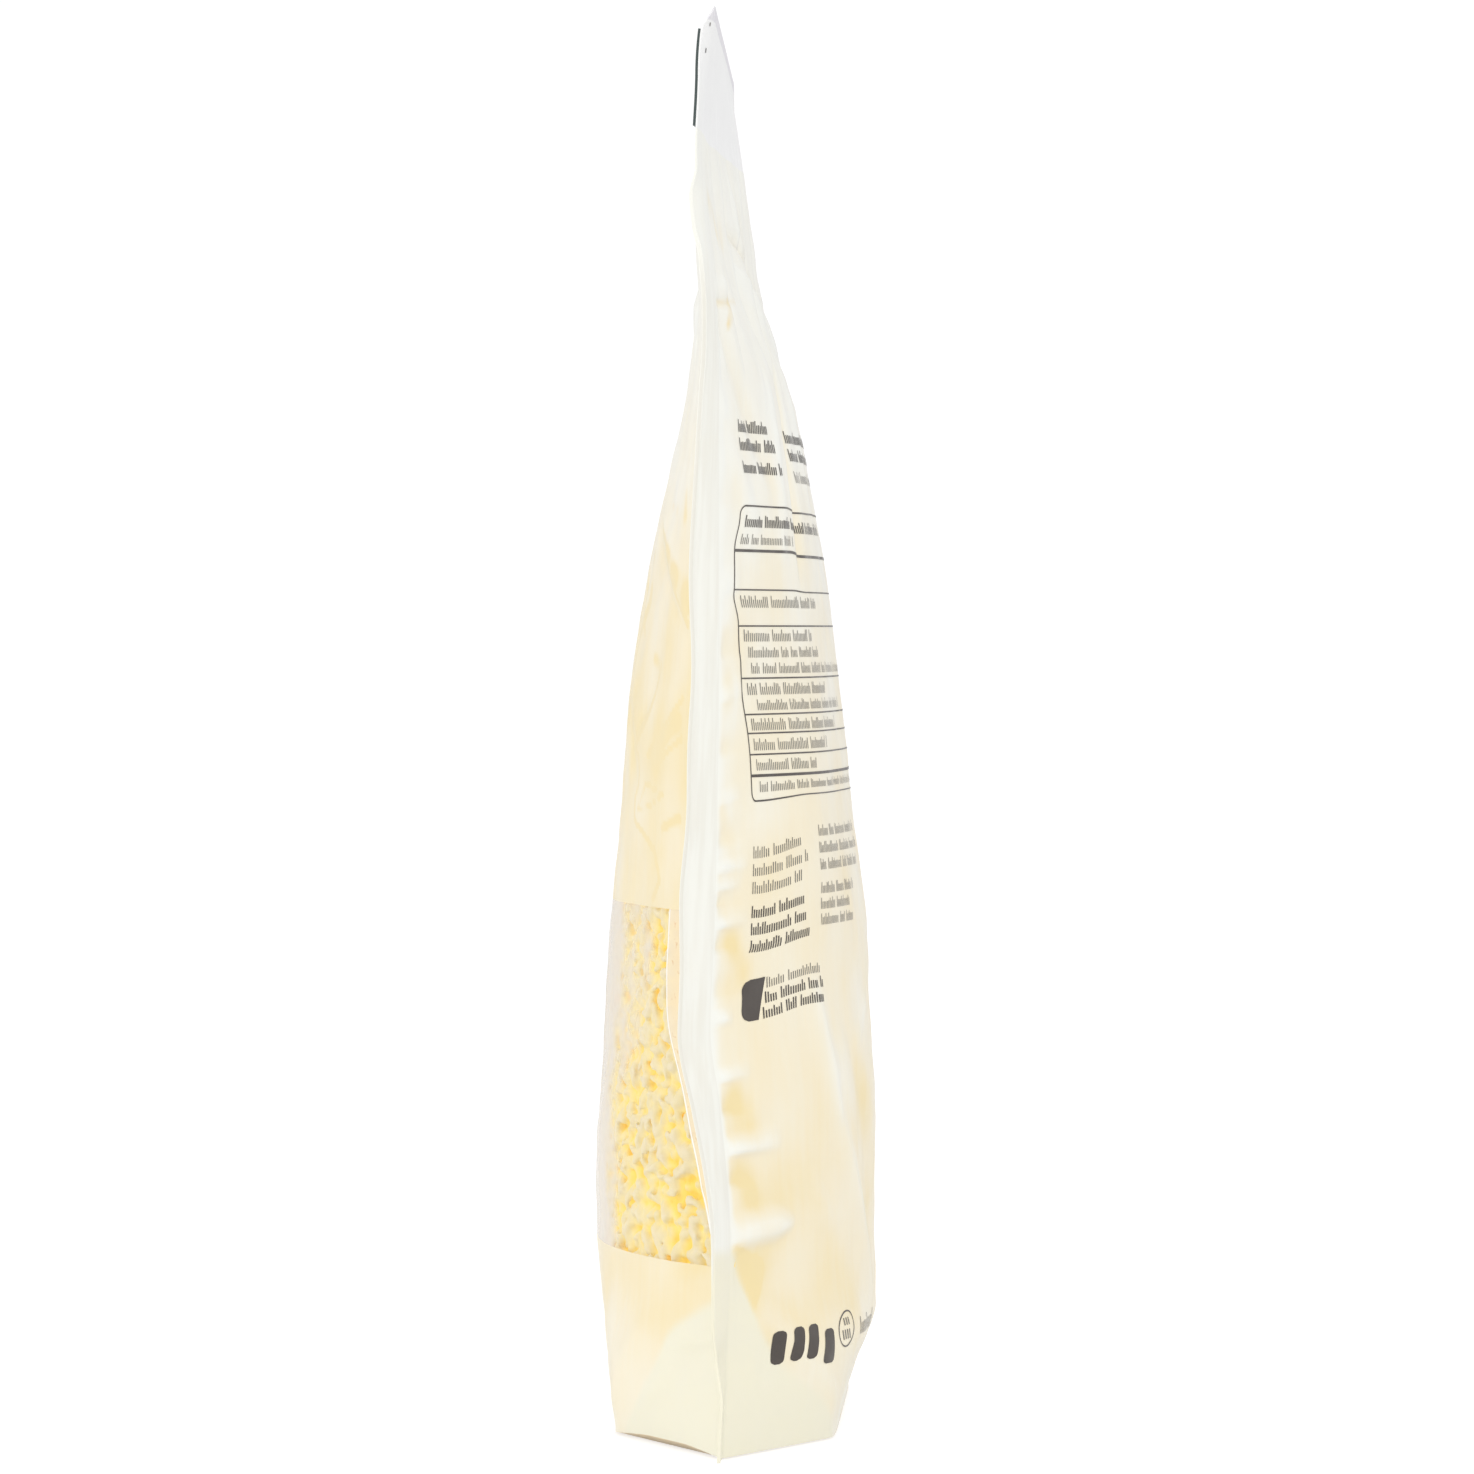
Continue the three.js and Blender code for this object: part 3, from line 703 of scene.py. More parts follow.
def printed_film(name):
    """Satin film printed cream. It is warmer where the cheese is pressed against it and, as painted shade,
    in the hollows of its folds and under the tuck; paler on the folds' ridges as a painted highlight; pale
    and greenish where the two films meet; and bare on the header."""
    film = Material(name, Coat_Weight=0.35, Coat_Roughness=0.16, IOR=1.5)
    height = film.axis("Z")
    streaks = film.noise(2.6, 2.0, 0.0, film.stretch(1.6, 1.6, 0.14))
    clouds = film.noise(14, 3.0, 0.6)
    uneven = film.add(film.times(streaks, 0.16), film.times(clouds, 0.26))
    # The attribute carries the cheese behind the film, and also painted shade in the hollows of the folds
    # and a painted highlight on their ridges.
    tone = film.add(film.attribute("contact_and_shade"), film.less(uneven, 0.21))
    cream = film.tones(
        tone, LIGHT, (0, 250, 250, 242), (0.22, 250, 247, 234), (0.45, 249, 241, 218), (0.7, 249, 236, 203),
        (1, 247, 227, 172),
    )
    pale = film.mix(film.noise(7, 2.0, 0.5), linear(246, 241, 215), linear(243, 239, 219))
    cream = film.mix(film.attribute("corner"), cream, pale)
    aside = film.between(film.size(film.axis("X")), 60 * MM, 80 * MM, 0.0, PRINT_TOP_ASIDE * MM)
    level = film.less(height, aside)
    bare = film.between(level, (PRINT_TOP - 0.2) * MM, (PRINT_TOP + 0.2) * MM)
    cream = film.mix(bare, cream, linear(249, 249, 249))
    strip = film.between(height, (POUCH_HEIGHT - TOP_STRIP - 0.2) * MM, (POUCH_HEIGHT - TOP_STRIP) * MM)
    cream = film.mix(strip, cream, linear(222, 219, 227))
    # The side seal is a little greyer, in streaks, and so are its inner line and cut edge.
    across = film.attribute("across")
    sealed = film.times(film.between(across, 0.0, 0.08), film.between(streaks, 0.3, 0.7, 0.12, 0.38))
    inner_line = film.between(film.size(film.less(across, 0.05)), 0.05, 0.01, 0.0, 0.25)
    cut_edge = film.between(across, 0.98, 1.1, 0.0, 0.7)
    shade = film.larger(film.larger(sealed, inner_line), cut_edge)
    shade = film.times(shade, film.between(height, 0.212, 0.196, 0.2, 1.0))
    shade = film.times(shade, film.between(height, 0.026, 0.042, 0.0, 1.0))
    cream = film.mix(shade, cream, linear(228, 224, 212))
    # On the bare header the seal is the lighter part.
    film.link(film.mix(film.times(bare, sealed), cream, linear(250, 250, 249)), "Base Color")
    film.roughness(9, 0.28, 0.42)
    film.bump(film.add(film.noise(2.2, 3.0), film.times(streaks, 0.8)), 0.14, 0.1)
    return film.data


def clear_film(name):
    """Clear film. It lets most light through, and is painted opaque and pale cream where it is seen at a
    slant, a painted reflection of the bright surround. A white painted highlight runs along the crease
    beside the cheese, and past the crease the shaded inside of the pouch is painted onto the film in orange
    and cream."""
    film = Material(name, Roughness=0.12, IOR=1.5)
    slant = film.node("ShaderNodeLayerWeight", {"Blend": 0.5}).outputs["Facing"]
    clouds = film.noise(16, 2.0, 0.3)
    slant = film.add(slant, film.times(film.less(clouds, 0.5), 0.2))
    # Painted reflection: the film turns opaque and pale cream at a slant.
    painted_slant_reflection = film.between(slant, 0.66, 0.82, 0.1, 0.9)
    # How far a place is past the crease, from the crease's own curve over the height.
    up = film.between(film.axis("Z"), WINDOW_CREASE[0][0] * MM, WINDOW_CREASE[-1][0] * MM, kind="LINEAR")
    curve = film.node("ShaderNodeFloatCurve", {"Value": up})
    points = curve.mapping.curves[0].points
    spread = WINDOW_CREASE[-1][0] - WINDOW_CREASE[0][0]
    while len(points) < len(WINDOW_CREASE):
        points.new(0.5, 0.5)
    for point, (height, crease) in zip(points, WINDOW_CREASE):
        point.location = ((height - WINDOW_CREASE[0][0]) / spread, crease / 100)
    curve.mapping.update()
    crease = film.times(curve.outputs["Value"], 100 * MM)
    past = film.less(film.size(film.axis("X")), crease)
    # A painted highlight along the crease.
    crease_highlight = film.between(film.size(past), 0.35 * MM, 0.12 * MM)
    # Painted shade past the crease: the shaded inside of the pouch, seen through the film, is painted onto
    # it in orange and cream with darker specks.
    shaded_inside = film.between(past, 0.0, 0.3 * MM)
    specks = film.between(film.noise(1.3, 3.0, 0.6), 0.62, 0.72)
    beside = film.mix(specks, linear(249, 234, 206), linear(232, 198, 162))
    colour = film.mix(shaded_inside, linear(234, 223, 208), beside)
    film.link(film.mix(crease_highlight, colour, linear(255, 252, 246)), "Base Color")
    alpha = film.larger(painted_slant_reflection, film.times(shaded_inside, 0.8))
    film.link(film.larger(alpha, crease_highlight), "Alpha")
    return film.data


def base_film(name):
    film = Material(name, Coat_Weight=0.15, Coat_Roughness=0.3)
    # Darker tan than the panels: partly the film with cheese behind it, partly painted shade for the
    # underside, where little light reaches.
    cream = film.mix(film.noise(18, 2.0), linear(236, 218, 182), linear(228, 202, 160))
    film.link(cream, "Base Color")
    film.roughness(6, 0.3, 0.5)
    film.bump(film.noise(3.0, 3.0), 0.2, 0.15)
    return film.data


def cheese_material(name):
    """Pale, moist cheese, painted a deeper yellow the deeper it lies behind the film as painted shade in the
    gaps between the crumbs, and with a painted glow there for light that comes through the crumbs.
    """
    cheese = Material(
        name, Subsurface_Weight=0.2, Subsurface_Scale=0.0015, IOR=1.42, Specular_IOR_Level=0.35
    )
    cheese.shader.inputs["Subsurface Radius"].default_value = (1.0, 0.9, 0.4)
    uneven = cheese.times(cheese.less(cheese.noise(3.5, 3.0), 0.5), 1.6)
    depth = cheese.add(cheese.attribute("depth"), uneven)
    # Painted shade: the colour deepens with depth behind the film, as in the gaps.
    tone = cheese.between(depth, 0.3, 2.6, kind="LINEAR")
    colour = cheese.tones(
        tone, GLOW, (0, 246, 234, 198), (0.35, 245, 229, 172), (0.7, 245, 219, 112), (1, 244, 206, 60),
    )
    cheese.link(colour, "Base Color")
    # A painted glow: the cheese gives off its own colour, most in the gaps, for light that comes through the
    # crumbs.
    cheese.link(colour, "Emission Color")
    cheese.link(cheese.between(depth, 0.5, 2.2, 0.14, 0.38), "Emission Strength")
    cheese.roughness(2, 0.4, 0.6)
    cheese.bump(cheese.noise(0.8, 3.0), 0.25, 0.1)
    return cheese.data


def ink(name, shade):
    """Print on the film, a little uneven like real ink."""
    print_ink = Material(name, Coat_Weight=0.2, Coat_Roughness=0.25)
    darker = tuple(c * 0.8 for c in shade[:3]) + (1.0,)
    print_ink.link(print_ink.mix(print_ink.noise(1.5, 2.0), shade, darker), "Base Color")
    print_ink.roughness(4, 0.3, 0.45)
    return print_ink.data


# ---- settings


def length(name, description, default):
    return bpy.props.FloatProperty(name=name, description=description, default=default, unit="LENGTH")


def colour(name, description, default):
    return bpy.props.FloatVectorProperty(
        name=name, description=description, subtype="COLOR", size=4, default=default, min=0, max=1
    )


class PouchSettings(bpy.types.PropertyGroup):
    """What a user would change about the pouch."""

    crumb_thickness: length("Crumb thickness", "How thick a crumb of cheese is", 1.7 * MM)
    crumb_length: length("Crumb length", "How long a typical crumb of cheese is", 2.7 * MM)
    ink_colour: colour("Ink", "Colour of the print on the back", linear(70, 61, 54, 1))
    band_colour: colour("Header band", "Colour of the header's front band", linear(66, 78, 76, 1))


class StageSettings(bpy.types.PropertyGroup):
    """The camera and the light."""

    camera_distance: length("Camera distance", "From the camera to the pouch's middle", 1.177)
    camera_height: length("Camera height", "Height of the camera over the ground", 0.143)
    camera_turn: bpy.props.FloatProperty(
        name="Camera turn", description="How far the camera stands round to the back from the pouch's side",
        default=math.radians(2.8), subtype="ANGLE",
    )
    light_power: bpy.props.FloatProperty(
        name="Light power", description="Power of the soft lights round the pouch", default=7,
        subtype="POWER",
    )
    surround: bpy.props.FloatProperty(
        name="Surround", description="Brightness of the white surround as it lights the pouch", default=0.77,
        min=0,
    )


# ---- operators


class POUCH_OT_back_panel(bpy.types.Operator):
    """Adds the back of the pouch, with its half of the side seals and the bare header"""

    bl_idname = "pouch.back_panel"
    bl_label = "Back panel"

    def execute(self, context):
        panel = add_panel("back_panel", "back", ())
        give_materials(panel, [printed_film("back_film")])
        settle(panel, "pouch")
        return {"FINISHED"}


class POUCH_OT_front_panel(bpy.types.Operator):
    """Adds the front of the pouch, and parts the clear window from it"""

    bl_idname = "pouch.front_panel"
    bl_label = "Front panel and window"

    def execute(self, context):
        panel = add_panel("front_panel", "front", (WINDOW_BOTTOM, WINDOW_TOP))
        middles = triples(panel.data.polygons, "center") / MM
        in_window = (
            (middles[:, 2] > WINDOW_BOTTOM)
            & (middles[:, 2] < WINDOW_TOP)
            & (np.abs(middles[:, 0]) < half_chord(middles[:, 2]))
        )
        give_materials(panel, [printed_film("front_film")])
        edit_faces(panel, in_window, bpy.ops.mesh.separate, type="SELECTED")
        window = next(o for o in context.selected_objects if o != panel)
        window.name = window.data.name = "window_film"
        give_materials(window, [clear_film("clear_film")])
        # The thin film shades the cheese behind it hardly at all.
        panel.visible_shadow = window.visible_shadow = False
        settle(panel, "pouch")
        settle(window, "pouch")
        return {"FINISHED"}


class POUCH_OT_folded_base(bpy.types.Operator):
    """Adds the folded base that arches up between the panels, and the rim they stand on"""

    bl_idname = "pouch.folded_base"
    bl_label = "Folded base"

    rim: length("Rim", "Height of the rim", 5 * MM)

    def execute(self, context):
        columns, rows, rim_rows = 150, 44, 4
        grid, column, row = add_grid("folded_base", columns, rows)
        aside = 1 - 2 * column / columns
        endwards = np.abs(aside)
        climbing = np.clip(row - 1, 0, rim_rows) / rim_rows
        falling = np.clip(rows - 1 - row, 0, rim_rows) / rim_rows
        across = np.clip((row - 1 - rim_rows) / (rows - 2 - 2 * rim_rows), 0, 1) * 2 - 1
        rim = self.rim / MM
        apex = 9 + (GUSSET_HEIGHT - 2.5 - 9) * endwards**2.3
        arch = rim + (apex - rim) * (1 - np.abs(across) ** (1.9 - 0.85 * endwards))
        arch = arch + 0.5 * ripples(aside * 70, across * 18, 77, 24) * (1 - np.abs(across)) * (1 - endwards)
        z = np.where(np.minimum(climbing, falling) < 1, rim * np.minimum(climbing, falling), arch)
        x = aside * (half_chord(z) - 0.25)
        front, back = film_depth("front", x, z), film_depth("back", x, z)
        wall = np.where(z < rim * 0.5, 1.0, 0.45)
        half_span = np.maximum((back - front) / 2 - wall, 0.02)
        y = (front + back) / 2 + half_span * np.where(climbing < 1, -1, np.where(falling < 1, 1, across))
        # The outermost rows meet the panels' own lower edges.
        for edge, side, lift in ((0, "front", along(FRONT_LIFT, np.abs(x))), (rows, "back", 0)):
            y = np.where(row == edge, film_depth(side, x, z * 0), y)
            z = np.where(row == edge, lift, z)
        shape_grid(grid, np.stack([x, y, z], 1), (0, 0, -1))
        give_materials(grid, [base_film("base_film")])
        settle(grid, "pouch")
        return {"FINISHED"}


class POUCH_OT_cheese(bpy.types.Operator):
    """Adds the cheese behind the window: crumbs pressed together and against the film in one mass"""

    bl_idname = "pouch.cheese"
    bl_label = "Grated cheese"

    SIDES, RINGS = 6, 5
    PITCH = (2.2, 1.8)  # how far apart the crumbs of a layer lie, along x and up
    # Layers of crumbs as (how far behind the film their middles lie, how many of the places they fill).
    LAYERS = ((2.3, 0.9), (1.25, 0.85))
    BELOW, ABOVE, PAST = 5.5, 3.0, 1.6  # how far the cheese goes on past the window's bottom, top and crease
    FINENESS = 0.42  # size of the faces of the joined mass
    MOST_FACES = 190000
    SKIN = 0.25  # the least room between the film and the cheese

    def crumb(self, draw, thickness, length):
        """The points of one crumb that lies along X: a bent, uneven, blunt rod."""
        bend = draw.uniform(-0.5, 0.5)
        taper = draw.uniform(0.7, 1.0)
        flat = draw.uniform(0.75, 1.0)
        points = []
        for i in range(self.RINGS):
            t = i / (self.RINGS - 1) * 2 - 1
            radius = thickness / 2 * math.sqrt(max(0.25, 1 - abs(t) ** 3)) * (1 + (taper - 1) * (t + 1) / 2)
            for j in range(self.SIDES):
                turn = 2 * math.pi * j / self.SIDES
                uneven = radius * draw.uniform(0.85, 1.15)
                sag = bend * (t * t - 0.4) * length * 0.2
                across, up = math.cos(turn) * uneven * flat, math.sin(turn) * uneven + sag
                points.append((t * length / 2, across, up))
        return np.array(points)

    def crumb_faces(self):
        sides, rings = self.SIDES, self.RINGS
        faces = [
            (i + j, i + sides + j, i + sides + (j + 1) % sides, i + (j + 1) % sides)
            for i in range(0, (rings - 1) * sides, sides)
            for j in range(sides)
        ]
        return [*faces, tuple(range(sides)), tuple(reversed(range((rings - 1) * sides, rings * sides)))]

    def turned(self, points, axis, angle):
        c, s = math.cos(angle), math.sin(angle)
        matrix = {"Y": ((c, 0, s), (0, 1, 0), (-s, 0, c)), "Z": ((c, s, 0), (-s, c, 0), (0, 0, 1))}[axis]
        return points @ np.array(matrix)

    def crumbs(self, draw, thickness, length):
        """The points and faces of all the crumbs, each with its place behind the film in y."""
        points, faces = [], []
        pitch_x, pitch_z = self.PITCH
        for behind, share in self.LAYERS:
            for row in range(int((WINDOW_TOP + self.ABOVE - WINDOW_BOTTOM + self.BELOW) / pitch_z)):
                middle = WINDOW_BOTTOM - self.BELOW + (row + 0.5) * pitch_z
                reach = float(along(WINDOW_CREASE, middle)) - 0.4
                for column in range(int(2 * reach / pitch_x)):
                    x = -reach + (column + draw.uniform(0, 1)) * pitch_x
                    z = middle + draw.uniform(-0.6, 0.6) * pitch_z
                    thick = thickness * draw.uniform(0.7, 1.3)
                    long = max(thick, length * draw.choice((0.6, 0.8, 1.0, 1.2, 1.6)))
                    one = self.crumb(draw, thick, long)
                    one = self.turned(one, "Z", draw.uniform(-0.7, 0.7))
                    one = self.turned(one, "Y", draw.uniform(0, math.pi))
                    one = one + (x, behind + draw.uniform(-0.5, 0.7), z)
                    if draw.random() < share:
                        base = len(points) * self.SIDES * self.RINGS
                        faces += [tuple(base + i for i in face) for face in self.crumb_faces()]
                        points.append(one)
        return np.concatenate(points), faces

    def execute(self, context):
        settings = context.scene.pouch
        columns, rows = 110, 52
        core, column, row = add_grid("cheese_core", columns, rows)
        bottom, top = WINDOW_BOTTOM - self.BELOW, WINDOW_TOP + self.ABOVE
        z = bottom + (top - bottom) * row / rows
        x = (1 - 2 * column / columns) * (along(WINDOW_CREASE, z) + self.PAST)
        front, back = film_depth("front", x, z), film_depth("back", x, z)
        front = front + np.minimum(2.1 + 0.7 * np.abs(ripples(x, z, 91, 7)), (back - front) * 0.4)
        shape_grid(core, np.stack([x, front, z], 1), (0, -1, 0))
        choose(core)
        apply_modifier(core, "SOLIDIFY", thickness=1.4 * MM, offset=-1)

        draw = random.Random(5)
        points, faces = self.crumbs(draw, settings.crumb_thickness / MM, settings.crumb_length / MM)
        film = film_depth("front", points[:, 0], points[:, 2])
        points[:, 1] = film + np.maximum(points[:, 1], self.SKIN)
        cheese = add_mesh("cheese_crumbs", points, faces)

        # The crumbs and the layer behind them become one mass, rounded where they touch.
        choose(cheese)
        core.select_set(True)
        bpy.ops.object.join()
        apply_modifier(cheese, "REMESH", mode="VOXEL", voxel_size=self.FINENESS * MM, use_smooth_shade=True)
        apply_modifier(cheese, "SMOOTH", factor=0.3, iterations=1)
        ratio = min(1.0, self.MOST_FACES / (2 * len(cheese.data.polygons)))
        apply_modifier(cheese, "DECIMATE", ratio=ratio)
        places = triples(cheese.data.vertices, "co") / MM
        depth = places[:, 1] - film_depth("front", places[:, 0], places[:, 2])
        places[:, 1] += np.maximum(0, self.SKIN - depth)
        cheese.data.vertices.foreach_set("co", (places * MM).astype(np.float32).ravel())
        cheese.data.update()
        store(cheese, "depth", np.maximum(depth, self.SKIN))
        give_materials(cheese, [cheese_material("grated_cheese")])
        settle(cheese, "grated_cheese")
        return {"FINISHED"}


class Print:
    """Flat marks on a panel, drawn in mm from the table's left border and from the ground, and then laid on
    the film. Each mark is a patch of small faces, of one of two inks."""

    BORDER = 64.5  # x of the table's left border, where the film is smooth
    # Where that border really runs, by height, because the film is gathered at the side seal.
    GATHERED = (
        (14, 64.5), (60, 64.5), (75, 63.9), (83, 64.2), (88, 60.8), (114, 60.8), (124, 62.0), (134, 64.6),
        (144, 65.2), (150, 67.5), (157, 67.2), (162, 65.2), (166, 64.0), (182, 64.2),
    )
    BOLD, REGULAR = 0, 1  # the two inks
    # Pitch of the dashes in a line of text, and their widths in the two inks, to the line's height.
    DASH_PITCH, DASHES = 0.37, (0.18, 0.12)
    STEP = 0.8  # size of a mark's faces, so that it follows the film

    def __init__(self):
        self.places, self.faces, self.inks = [], [], []

    def patch(self, lower, upper, layers, kind):
        """A patch between two lines of as many places."""
        base, wide = len(self.places), len(lower)
        for layer in range(layers + 1):
            share = layer / layers
            self.places += [
                (low[0] + (high[0] - low[0]) * share, low[1] + (high[1] - low[1]) * share)
                for low, high in zip(lower, upper)
            ]
        for layer in range(layers):
            for i in range(wide - 1):
                a = base + layer * wide + i
                self.faces.append((a, a + 1, a + wide + 1, a + wide))
                self.inks.append(kind)

    def bar(self, start, stop, bottom, top, kind=BOLD):
        steps = max(1, math.ceil((stop - start) / self.STEP))
        layers = max(1, round((top - bottom) / self.STEP))
        across = np.linspace(start, stop, steps + 1)
        self.patch([(s, bottom) for s in across], [(s, top) for s in across], layers, kind)

    def words(self, draw, start, stop, bottom, height, kind):
        """A line of text, greeked as groups of upright dashes of uneven height."""
        pitch = self.DASH_PITCH * height
        dash = self.DASHES[kind] * height
        at = start
        while at + pitch < stop:
            for i in range(min(draw.choice((5, 8, 11, 14, 18)), int((stop - at) / pitch))):
                tall = 1.0 if i == 0 else draw.choice((0.66, 0.66, 0.66, 0.7, 0.7, 0.66, 1.0, 0.92))
                self.bar(at, at + dash, bottom, bottom + height * tall, kind)
                at += pitch
            at += 1.4 * pitch

    def line(self, path, width, kind=BOLD):
        """A thin line along a path."""
        path = np.array(path, float)
        way = np.gradient(path, axis=0)
        way /= np.linalg.norm(way, axis=1)[:, None]
        aside = np.stack([-way[:, 1], way[:, 0]], 1) * width / 2
        self.patch(list(map(tuple, path - aside)), list(map(tuple, path + aside)), 1, kind)

    def outline(self, start, stop, bottom, top, radius, width):
        """The outline of a rectangle with round corners."""
        path = []
        for s, z, turned in ((stop - radius, top - radius, 0), (start + radius, top - radius, 90),
                             (start + radius, bottom + radius, 180), (stop - radius, bottom + radius, 270)):
            for turn in range(turned, turned + 91, 15):
                angle = math.radians(turn)
                path.append((s + radius * math.cos(angle), z + radius * math.sin(angle)))
        path.append(path[0])
        fine = [path[0]]
        for a, b in zip(path, path[1:]):
            count = max(1, round(math.dist(a, b)))
            fine += [tuple(np.array(a) + (np.array(b) - a) * k / count) for k in range(1, count + 1)]
        self.line(fine, width)

    def block(self, low, high, bottom, top, radius, square=False, kind=BOLD):
        """A filled shape with round corners that spans low at its bottom and high at its top. A square one
        has sharp corners on its right."""
        heights = np.linspace(bottom, top, 19)
        into = np.maximum(0, radius - np.minimum(heights - bottom, top - heights))
        cut = radius - np.sqrt(np.maximum(0, radius**2 - into**2))
        share = (heights - bottom) / (top - bottom)
        left = low[0] + (high[0] - low[0]) * share + cut
        right = low[1] + (high[1] - low[1]) * share - (0 if square else cut)
        steps = max(2, math.ceil((low[1] - low[0]) / self.STEP))
        rows = [
            [(s, z) for s in np.linspace(start, stop, steps)] for start, stop, z in zip(left, right, heights)
        ]
        for lower, upper in zip(rows, rows[1:]):
            self.patch(lower, upper, 1, kind)

    def on_film(self, lift):
        s, z = np.array(self.places).T
        x = self.BORDER - s + (along(self.GATHERED, z) - self.BORDER) * np.exp(-np.maximum(s, 0) / 16)
        rise = 2.2 * ramp(s, 2, 24) * ramp(z, 118, 106) * ramp(z, 36, 60)
        drop = 0.7 * ramp(s, 25, 34) * ramp(z, 145, 156)
        return film_points("back", x, z + rise - drop, lift)


class POUCH_OT_back_print(bpy.types.Operator):
    """Adds the print on the back: dashes in place of text, a ruled table, a tab and an oval"""

    bl_idname = "pouch.back_print"
    bl_label = "Back print"

    LIFT = 0.07
    TABLE = (0.0, 126.0, 113.2, 164.6)  # left, right, bottom and top
    RULES = ((156.8, 0.5), (150.0, 0.26), (143.7, 0.26), (134.6, 0.26), (128.3, 0.26), (125.0, 0.26),
             (121.3, 0.26), (117.6, 0.5))
    # Lines of text as (height, start, stop, cap height, ink), in mm from the table's left border.
    TEXT = (
        (177.4, 0.3, 19, 2.2, 0), (174.2, 0.3, 22, 2.2, 0), (170.3, 0.3, 24, 2.1, 0),
        (177.2, 40, 92, 2.2, 0), (174.0, 40, 84, 2.2, 0), (170.1, 40, 88, 2.1, 1),
        (160.9, 2.4, 62, 2.1, 0), (157.9, 2.0, 28, 1.8, 1), (146.9, 2.4, 42, 2.1, 1),
        (141.0, 1.8, 36, 2.1, 1), (138.2, 3.4, 40, 1.9, 1), (135.4, 4.4, 70, 1.9, 1),
        (131.7, 2.2, 44, 2.1, 1), (129.0, 5.2, 60, 1.9, 1), (125.5, 2.0, 52, 2.1, 1),
        (122.0, 2.2, 40, 2.1, 1), (118.5, 2.4, 30, 2.0, 1), (114.7, 3.2, 78, 1.9, 1),
        (103.2, 0.6, 20, 2.1, 1), (100.1, 0.6, 22, 2.1, 1), (97.0, 0.6, 19, 2.1, 1),
        (92.8, 0.6, 20, 2.1, 0), (89.8, 0.6, 21, 2.1, 0), (86.8, 0.6, 22, 2.1, 0),
        (104.2, 27, 62, 2.0, 1), (101.2, 27, 64, 2.0, 1), (98.2, 27, 60, 2.0, 1),
        (94.0, 27, 52, 2.0, 1), (91.2, 27, 48, 2.0, 1), (88.4, 27, 50, 2.0, 1),
        (104.2, 76, 116, 2.0, 1), (101.2, 76, 112, 2.0, 1), (98.2, 76, 118, 2.0, 1),
        (94.0, 76, 104, 2.0, 1), (91.2, 76, 108, 2.0, 1),
        (80.0, 8.4, 27, 1.9, 1), (77.4, 7.8, 28, 2.0, 0), (74.8, 7.0, 28, 2.0, 0),
    )
    FIGURES = ((146.9, 100, 108), (141.0, 102, 108), (131.7, 101, 108), (125.5, 103, 108), (122.0, 102, 108),
               (118.5, 103, 108))

    def execute(self, context):
        draw = random.Random(3)
        marks = Print()
        left, right, bottom, top = self.TABLE
        marks.outline(left, right, bottom, top, 1.4, 0.3)
        for height, width in self.RULES:
            marks.line([(s, height) for s in np.linspace(left, right, 158)], width)
        for height, start, stop, cap, kind in self.TEXT:
            marks.words(draw, start, stop, height, cap, kind)
        for height, start, stop in self.FIGURES:
            marks.words(draw, start, stop, height, 2.1, Print.REGULAR)
        # A tab, and low on the panel a mark of four blocks, an oval and a short line.
        marks.block((1.0, 5.7), (2.0, 8.0), 74.8, 82.0, 2.0, square=True)
        for low, high, foot in (((4.6, 7.6), (5.2, 8.0), 14.7), ((8.8, 11.3), (10.2, 13.4), 14.9),
                                ((12.3, 15.1), (14.8, 18.0), 14.9), ((16.6, 20.6), (19.5, 23.0), 13.6)):
            marks.block(low, high, foot, foot + 5.8, 0.9)
        turns = np.linspace(0, 2 * math.pi, 49)
        oval = np.stack([29 + 4 * np.cos(turns) + 1.5 * np.sin(turns), 18.6 + 3 * np.sin(turns)], 1)
        marks.line(oval, 0.28)
        for start, foot, count, tall in ((28.0, 19.2, 3, 1.3), (26.4, 16.8, 4, 1.7)):
            for i in range(count):
                marks.bar(start + i * 1.1, start + i * 1.1 + 0.45, foot, foot + tall, Print.REGULAR)
        marks.words(draw, 38, 58, 16.6, 3.2, Print.REGULAR)
        # Two specks on the bare header.
        marks.block((-14.9, -14.3), (-14.9, -14.3), 246.2, 246.9, 0.25, kind=Print.REGULAR)
        marks.block((-15.4, -14.9), (-15.4, -14.9), 241.6, 242.5, 0.2)

        marks_object = add_mesh("back_print", marks.on_film(self.LIFT), marks.faces)
        inwards = triples(marks_object.data.polygons, "normal")[:, 1] < 0
        edit_faces(marks_object, inwards, bpy.ops.mesh.flip_normals)
        dark = tuple(context.scene.pouch.ink_colour)
        light = tuple(0.85 * c + 0.15 * f for c, f in zip(dark[:3], (0.80, 0.76, 0.66))) + (1.0,)
        give_materials(marks_object, [ink("dark_ink", dark), ink("light_ink", light)], np.array(marks.inks))
        settle(marks_object, "pouch")
        return {"FINISHED"}


class POUCH_OT_header_band(bpy.types.Operator):
    """Adds the dark band that wraps the front of the header from edge to edge"""

    bl_idname = "pouch.header_band"
    bl_label = "Header band"

    thickness: length("Thickness", "Thickness of the band", 0.45 * MM)

    def execute(self, context):
        columns, rows = 200, 24
        band, column, row = add_grid("header_band", columns, rows)
        z = BAND_BOTTOM + (BAND_TOP - BAND_BOTTOM) * row / rows
        end = half_chord(z) + seal_reach(z) * (1 - corner_cut(z))
        x = (1 - 2 * column / columns) * (end - 0.02)
        shape_grid(band, film_points("front", x, z, 0.03), (0, -1, 0))
        choose(band)
        apply_modifier(band, "SOLIDIFY", thickness=self.thickness, offset=1)
        bpy.ops.object.shade_smooth_by_angle(angle=math.radians(50))
        give_materials(band, [ink("header_ink", tuple(context.scene.pouch.band_colour))])
        settle(band, "front_label")
        return {"FINISHED"}


